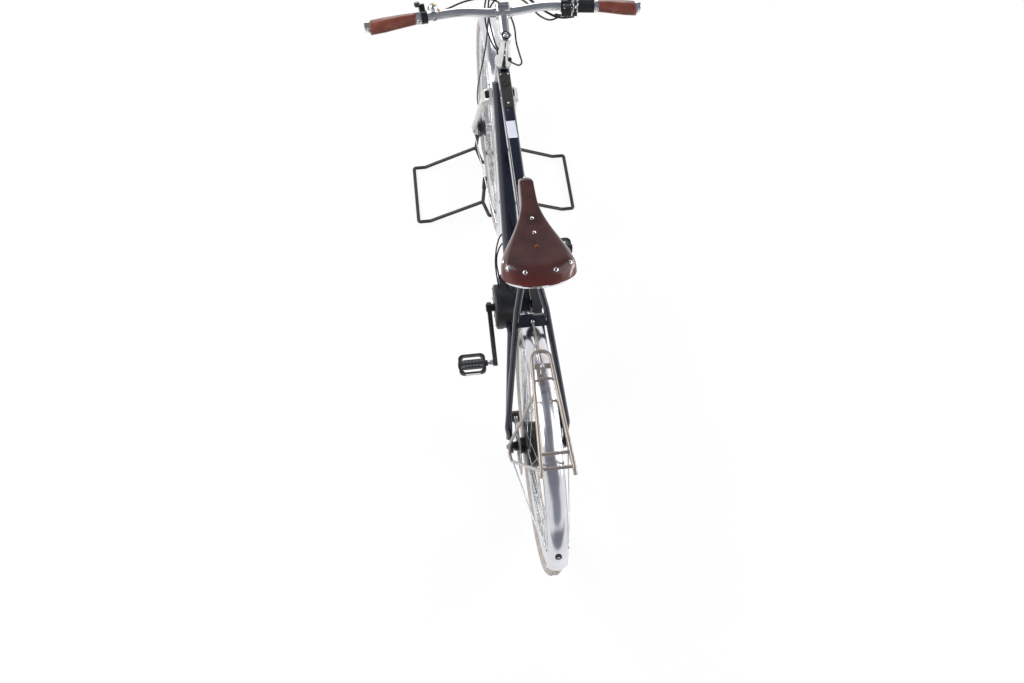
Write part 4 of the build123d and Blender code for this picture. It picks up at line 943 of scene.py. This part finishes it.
def buildDriveTrim():
    # crank caps and the pulley's ring screws
    shape = driveFittings
    bm = bmesh.new()
    for out in (-right, right):
        end = crankAxis + out * shape["armEnd"] * mm
        lathe(bm, [(-1, 0), (-1, 10.5), (0.8, 10.5), (1.4, 9.8), (1.4, 6.0), (0.6, 5.6), (0.6, 0)], end,
              out, 32)
        capScrew(bm, end + out * 0.5 * mm, out, 5.0, 1.2, 1)
    count, radius, first, x = shape["pulley"]
    for n in range(count):
        capScrew(bm, aboutWheel(crankAxis, radius, first + 360 / count * n, x), right, 4.0, 1.6, 1)
    return finishPiece("driveTrim", bm, "cranks", [satinBlack, rimAlloy], 38)


def buildMotorTrim():
    # screws round the cover
    bm = bmesh.new()
    count, radius, first, x = driveFittings["cover"]
    for n in range(count):
        capScrew(bm, aboutWheel(crankAxis, radius, first + 360 / count * n, x), -right, 2.7, 1.6, 1)
    # lead boots where the cables enter the unit
    for x in driveFittings["leads"]:
        at = crankAxis + Vector((x, 27, 47)) * mm
        lathe(bm, [(-2, 0), (-2, 5), (4, 4.6), (9, 3.2), (9, 2.2)], at, Vector((0.05, 0.6, 0.8)), 18, 2)
    return finishPiece("motorTrim", bm, "frame",
                       [blackMoulding, rimAlloy, blackRubber], 38)


beltShape = {"frontR": 88, "rearR": 42, "proud": 0.4, "sink": 0.6, "x": 50, "pitch": 11,
             "tooth": (9.6, 5.2, 2.6)}


def buildBeltTeeth():
    # ribs across the back of the belt along its straight runs
    shape = beltShape
    bm = bmesh.new()
    span = rearAxle - crankAxis
    tilt = atan2(span.z, span.y)
    lean = (shape["frontR"] - shape["rearR"]) / (span.length / mm)
    for side in (-1, 1):
        normalTurn = tilt + side * (pi / 2 - lean)
        out = Vector((0, cos(normalTurn), sin(normalTurn)))
        start = crankAxis + out * (shape["frontR"] + shape["proud"]) * mm
        run = rearAxle + out * (shape["rearR"] + shape["proud"]) * mm - start
        count = int(run.length / mm / shape["pitch"])
        for n in range(1, count):
            at = start + run * n / count + right * shape["x"] * mm - out * shape["sink"] * mm
            softBox(bm, at, out, shape["tooth"], 0.8, right, 1)
    return finishPiece("beltTeeth", bm, "frame", [beltRubber], 40)


buildDriveTrim()
buildMotorTrim()
buildBeltTeeth()

# pedals: waisted decks, bright wear plates and shaft caps
pedalShape = {
    "middle": 151, "deckFrom": 6.2, "deckThick": 1.6,
    "screwAlong": 27, "wearAcross": 31.6, "shaftFrom": 89.4, "capFrom": 40,
    "deck": [(-33, -14), (-33, 14), (-20, 11), (0, 9.5), (20, 11), (33, 14), (33, -14), (20, -11),
             (0, -9.5), (-20, -11)],
}


def buildDeck():
    # waisted plate that lies over the barrel
    shape = pedalShape
    plate = bmesh.new()
    low = [plate.verts.new((x * mm, y * mm, shape["deckFrom"] * mm)) for x, y in shape["deck"]]
    raised = bmesh.ops.extrude_face_region(plate, geom=[plate.faces.new(low)])["geom"]
    bmesh.ops.translate(plate, verts=[v for v in raised if isinstance(v, bmesh.types.BMVert)],
                        vec=(0, 0, shape["deckThick"] * mm))
    return plate


def buildPedalTrim(name, axis, hand, body):
    shape = pedalShape
    bm = bmesh.new()
    middle = Vector((hand * shape["middle"] * mm, axis.y, axis.z))
    for way in (upward, -upward):
        addPart(bm, buildDeck(), middle, way, right, 1)
        for along in (-shape["screwAlong"], shape["screwAlong"]):
            top = way * (shape["deckFrom"] + shape["deckThick"]) * mm
            capScrew(bm, middle + top + right * along * mm, way, 2.4, 0.8)
    for across in (-1, 1):
        # bright wear plate let into the long side of the cage
        at = middle + Vector((0, across * shape["wearAcross"], 0)) * mm
        softBox(bm, at, Vector((0, across, 0)), (44, 8, 1.2), 0.5, right, 2)
    # collar of the shaft by the crank, and the outer dust cap
    inner = Vector((hand * shape["shaftFrom"] * mm, axis.y, axis.z))
    lathe(bm, [(0, 0), (0, 8.2), (1.4, 8.6), (7, 8.6), (8.4, 7.0), (15.8, 6.6), (15.8, 0)], inner,
          right * hand, 28)
    outer = middle + right * hand * shape["capFrom"] * mm
    lathe(bm, [(-1, 0), (-1, 6.4), (1.2, 6.4), (2.0, 5.4), (2.0, 0)], outer, right * hand, 24, 2)
    return finishPiece(name, bm, body, [rimAlloy, deckGrey, blackRubber], 38)


buildPedalTrim("leftPedalTrim", leftPedalAt, -1, "left_pedal_body")
buildPedalTrim("rightPedalTrim", rightPedalAt, 1, "right_pedal_body")
print("drive fittings ready")

brakeFittings = {"bodyR": 76, "bodyIn": 14, "mountHalf": 17, "discScrews": 6, "discScrewR": 26}


def buildBrakeTrim(name, axle, discX, angle, body):
    # hose banjo and two mounting screws of a calliper
    bm = bmesh.new()
    shape = brakeFittings
    centre = aboutWheel(axle, shape["bodyR"], angle, discX - shape["bodyIn"])
    tangent, radial = wheelWay(angle + 90), wheelWay(angle)
    for way in (-1, 1):
        capScrew(bm, centre + tangent * way * shape["mountHalf"] * mm + radial * 4 * mm, -right, 4.0, 3.0)
    lathe(bm, [(-2, 0), (-2, 5.2), (4, 5.2), (4.6, 4.6), (4.6, 0)],
          centre + radial * 11 * mm + right * 6 * mm, radial, 24, 1)
    return finishPiece(name, bm, body, [chromed, satinBlack], 38)


buildBrakeTrim("rearBrakeTrim", rearAxle, -54, 27, "frame")
buildBrakeTrim("frontBrakeTrim", frontAxle, -42, 128, "steering")


def buildDiscScrews(name, axle, x, body):
    bm = bmesh.new()
    count = brakeFittings["discScrews"]
    for n in range(count):
        capScrew(bm, aboutWheel(axle, brakeFittings["discScrewR"], 360 / count * n, x), -right, 2.6, 1.4)
    return finishPiece(name, bm, body, [satinBlack], 38)


buildDiscScrews("rearDiscScrews", rearAxle, -54, "rear_wheel")
buildDiscScrews("frontDiscScrews", frontAxle, -40, "front_wheel")


forkFittings = {"hollowShadeUp": 388.4, "hollowShadeOut": 36, "axleOut": 61, "endOut": 69, "crownUp": 376,
                "crownBack": -17.2}


def buildForkTrim():
    # black plates laid in the shoulder hollows as painted shade, and the axle ends
    shape = forkFittings
    bm = bmesh.new()
    for hand in (-1, 1):
        out = right * hand
        # black plate in each shoulder hollow: painted shade
        softBox(bm, onAxis(shape["hollowShadeUp"], 0, hand * shape["hollowShadeOut"]), steerUp, (12.6, 23.6, 0.9),
                0.4, right, 1, 1)
        end = frontAxle + out * shape["axleOut"] * mm
        lathe(bm, [(0, 6.2), (0, 10.5), (1.2, 10.5), (1.4, 10), (1.4, 6.2)], end, out, 28)
        hexNut(bm, end + out * 1.2 * mm, out, 15, 6)
        lathe(bm, [(0, 0), (0, 5.6), (2.0, 4.6), (2.4, 0)], frontAxle + out * shape["endOut"] * mm, out, 20)
    # guard screw through the crown's back
    capScrew(bm, onAxis(shape["crownUp"], shape["crownBack"]), -steerAhead, 4.4, 3)
    return finishPiece("forkTrim", bm, "steering", [rimAlloy, satinBlack], 38)


buildForkTrim()


# uprights in metres: out at foot and top, their heights, and the places along, each with its lean in mm
uprights = {"footX": 0.048, "topX": 0.037, "footZ": 0.084, "topZ": 0.210,
            "along": [(-0.103, 12), (0.137, -12)]}


def buildStandSleeves():
    # rubber sleeves pulled over the four uprights that hold the tyre
    shape = uprights
    bm = bmesh.new()
    for hand in (-1, 1):
        for along, lean in shape["along"]:
            foot = Vector((hand * shape["footX"], frontAxle.y + along, shape["footZ"]))
            top = Vector((hand * shape["topX"], frontAxle.y + along + lean * mm, shape["topZ"]))
            way = top - foot
            long = way.length / mm
            lathe(bm, [(long - 52, 5.6), (long - 52, 7.2), (long - 50, 7.8), (long - 2, 7.8),
                       (long - 0.4, 7.2), (long + 0.6, 5.2), (long + 0.9, 0)], foot, way, 24)
    return finishPiece("standSleeves", bm, "steering", [blackRubber], 40)


buildStandSleeves()


def buildHeadSeams():
    # thin alloy rings that show at both ends of the head tube
    bm = bmesh.new()
    for s in (404.6, 612.1):
        lathe(bm, [(-0.7, 15), (-0.7, 22.6), (0, 23.0), (0.7, 22.6), (0.7, 15)], onAxis(s), steerUp, 48)
    return finishPiece("headSeams", bm, "frame", [rimAlloy], 40)


buildHeadSeams()
print("brakes, fork and stand fittings ready")

# light and floor: big soft lamps, pale room, darker ceiling for the metal to mirror
studio = {
    "ceilingHex": "858994", "backHex": "979AA6", "wallHex": "FFFFFF", "roomPower": 0.92,
    "overhead": (-0.045, -0.12, 0.99), "overheadEdge": 0.30, "overheadFull": 0.52,
    "behind": (0.10, -0.965, 0.24), "behindEdge": 0.80, "behindFull": 0.93,
    "key": {"at": (-2.4, 0.2, 4.0), "size": (2.4, 2.4), "power": 36},
    "fill": {"at": (2.6, -1.4, 3.2), "size": (2.6, 2.6), "power": 30},
    "back": {"at": (0.4, 3.8, 2.8), "size": (2.2, 2.2), "power": 34},
    "leftStrip": {"at": (-2.4, 0.3, 2.25), "size": (3.0, 0.7), "power": 62},
    "rightStrip": {"at": (2.7, -0.2, 1.1), "size": (2.8, 0.5), "power": 50},
    "floorSize": 60, "floorShare": 0.88, "boardHex": "8C8E98",
    "boardFrom": (-1.1, -6.5), "boardTo": (1.5, -1.85), "boardHeight": 0.003,
}


def addArea(name, at, size, power):
    data = bpy.data.lights.new(name, "AREA")
    data.shape = "RECTANGLE"
    data.size, data.size_y = size
    data.energy = power
    lamp = bpy.data.objects.new(name, data)
    lamp.location = at
    lamp.rotation_euler = (Vector((0, 0, 0.5)) - Vector(at)).to_track_quat("-Z", "Y").to_euler()
    scene.collection.objects.link(lamp)


for lampName in ("key", "fill", "back", "leftStrip", "rightStrip"):
    addArea(lampName + "Light", **studio[lampName])


def buildWorld():
    # white to the camera; in reflections a grey ceiling overhead and a grey wall behind
    world = bpy.data.worlds.new("studioWorld")
    world.use_nodes = True
    tree = world.node_tree
    tree.nodes.clear()
    coords = addNode(tree, "TexCoord")
    toTop = addNode(tree, "VectorMath", {"operation": "DOT_PRODUCT", 1: studio["overhead"]},
                    {0: (coords, "Generated")})
    ceiling = rampNode(tree, toTop, "Value", [
        (studio["overheadEdge"], studio["wallHex"]), (studio["overheadFull"], studio["ceilingHex"])])
    toBack = addNode(tree, "VectorMath", {"operation": "DOT_PRODUCT", 1: studio["behind"]},
                     {0: (coords, "Generated")})
    backWall = rampNode(tree, toBack, "Value", [
        (studio["behindEdge"], studio["wallHex"]), (studio["behindFull"], studio["backHex"])])
    walls = addNode(tree, "Mix", {"data_type": "RGBA", "blend_type": "DARKEN", 0: 1.0},
                    {6: (ceiling, "Color"), 7: (backWall, "Color")})
    room = addNode(tree, "Background", {"Strength": studio["roomPower"]}, {"Color": (walls, 2)})
    plain = addNode(tree, "Background", {"Color": (1, 1, 1, 1), "Strength": 1.0})
    path = addNode(tree, "LightPath")
    mix = addNode(tree, "MixShader", None, {0: (path, "Is Camera Ray"), 1: (room, 0), 2: (plain, 0)})
    addNode(tree, "OutputWorld", None, {"Surface": (mix, 0)})
    return world


scene.world = buildWorld()
scene.view_settings.view_transform = "Standard"


def whiteFloor():
    # matt white that camera and mirrored rays see brighter, so that the ground shows no edge
    material, tree, output, _ = newMaterial("whiteFloor")
    matt = addNode(tree, "BsdfDiffuse", {"Color": hexColour("FAFAFA")})
    glow = addNode(tree, "Emission", {"Color": (1, 1, 1, 1), "Strength": 1.0})
    path = addNode(tree, "LightPath")
    seen = addNode(tree, "Math", {"operation": "MAXIMUM"},
                   {0: (path, "Is Camera Ray"), 1: (path, "Is Glossy Ray")})
    share = addNode(tree, "Math", {"operation": "MULTIPLY", 1: studio["floorShare"]}, {0: (seen, 0)})
    mix = addNode(tree, "MixShader", None, {0: (share, 0), 1: (matt, 0), 2: (glow, 0)})
    tree.links.new(mix.outputs[0], output.inputs["Surface"])
    return material


def darkPaint():
    material, tree, output, _ = newMaterial("darkBoard")
    finishMaterial(tree, output, {"Base Color": hexColour(studio["boardHex"]), "Roughness": 0.8}, {})
    return material


def addSheet(name, low, high, height, material):
    # level rectangle between two corners, facing up
    bm = bmesh.new()
    corners = [low, (high[0], low[1]), high, (low[0], high[1])]
    bm.faces.new([bm.verts.new((x, y, height)) for x, y in corners])
    sheet = linkObject(name, bm, [material])
    return sheet


halfFloor = studio["floorSize"] / 2
addSheet("floor", (-halfFloor, -halfFloor), (halfFloor, halfFloor), 0, whiteFloor())
# dark board behind the bicycle that only the polished metal mirrors: the streak down the mudguard
board = addSheet("darkBoard", studio["boardFrom"], studio["boardTo"], studio["boardHeight"], darkPaint())
board.visible_camera = False
board.visible_diffuse = False
board.visible_shadow = False
print("light and floor ready")
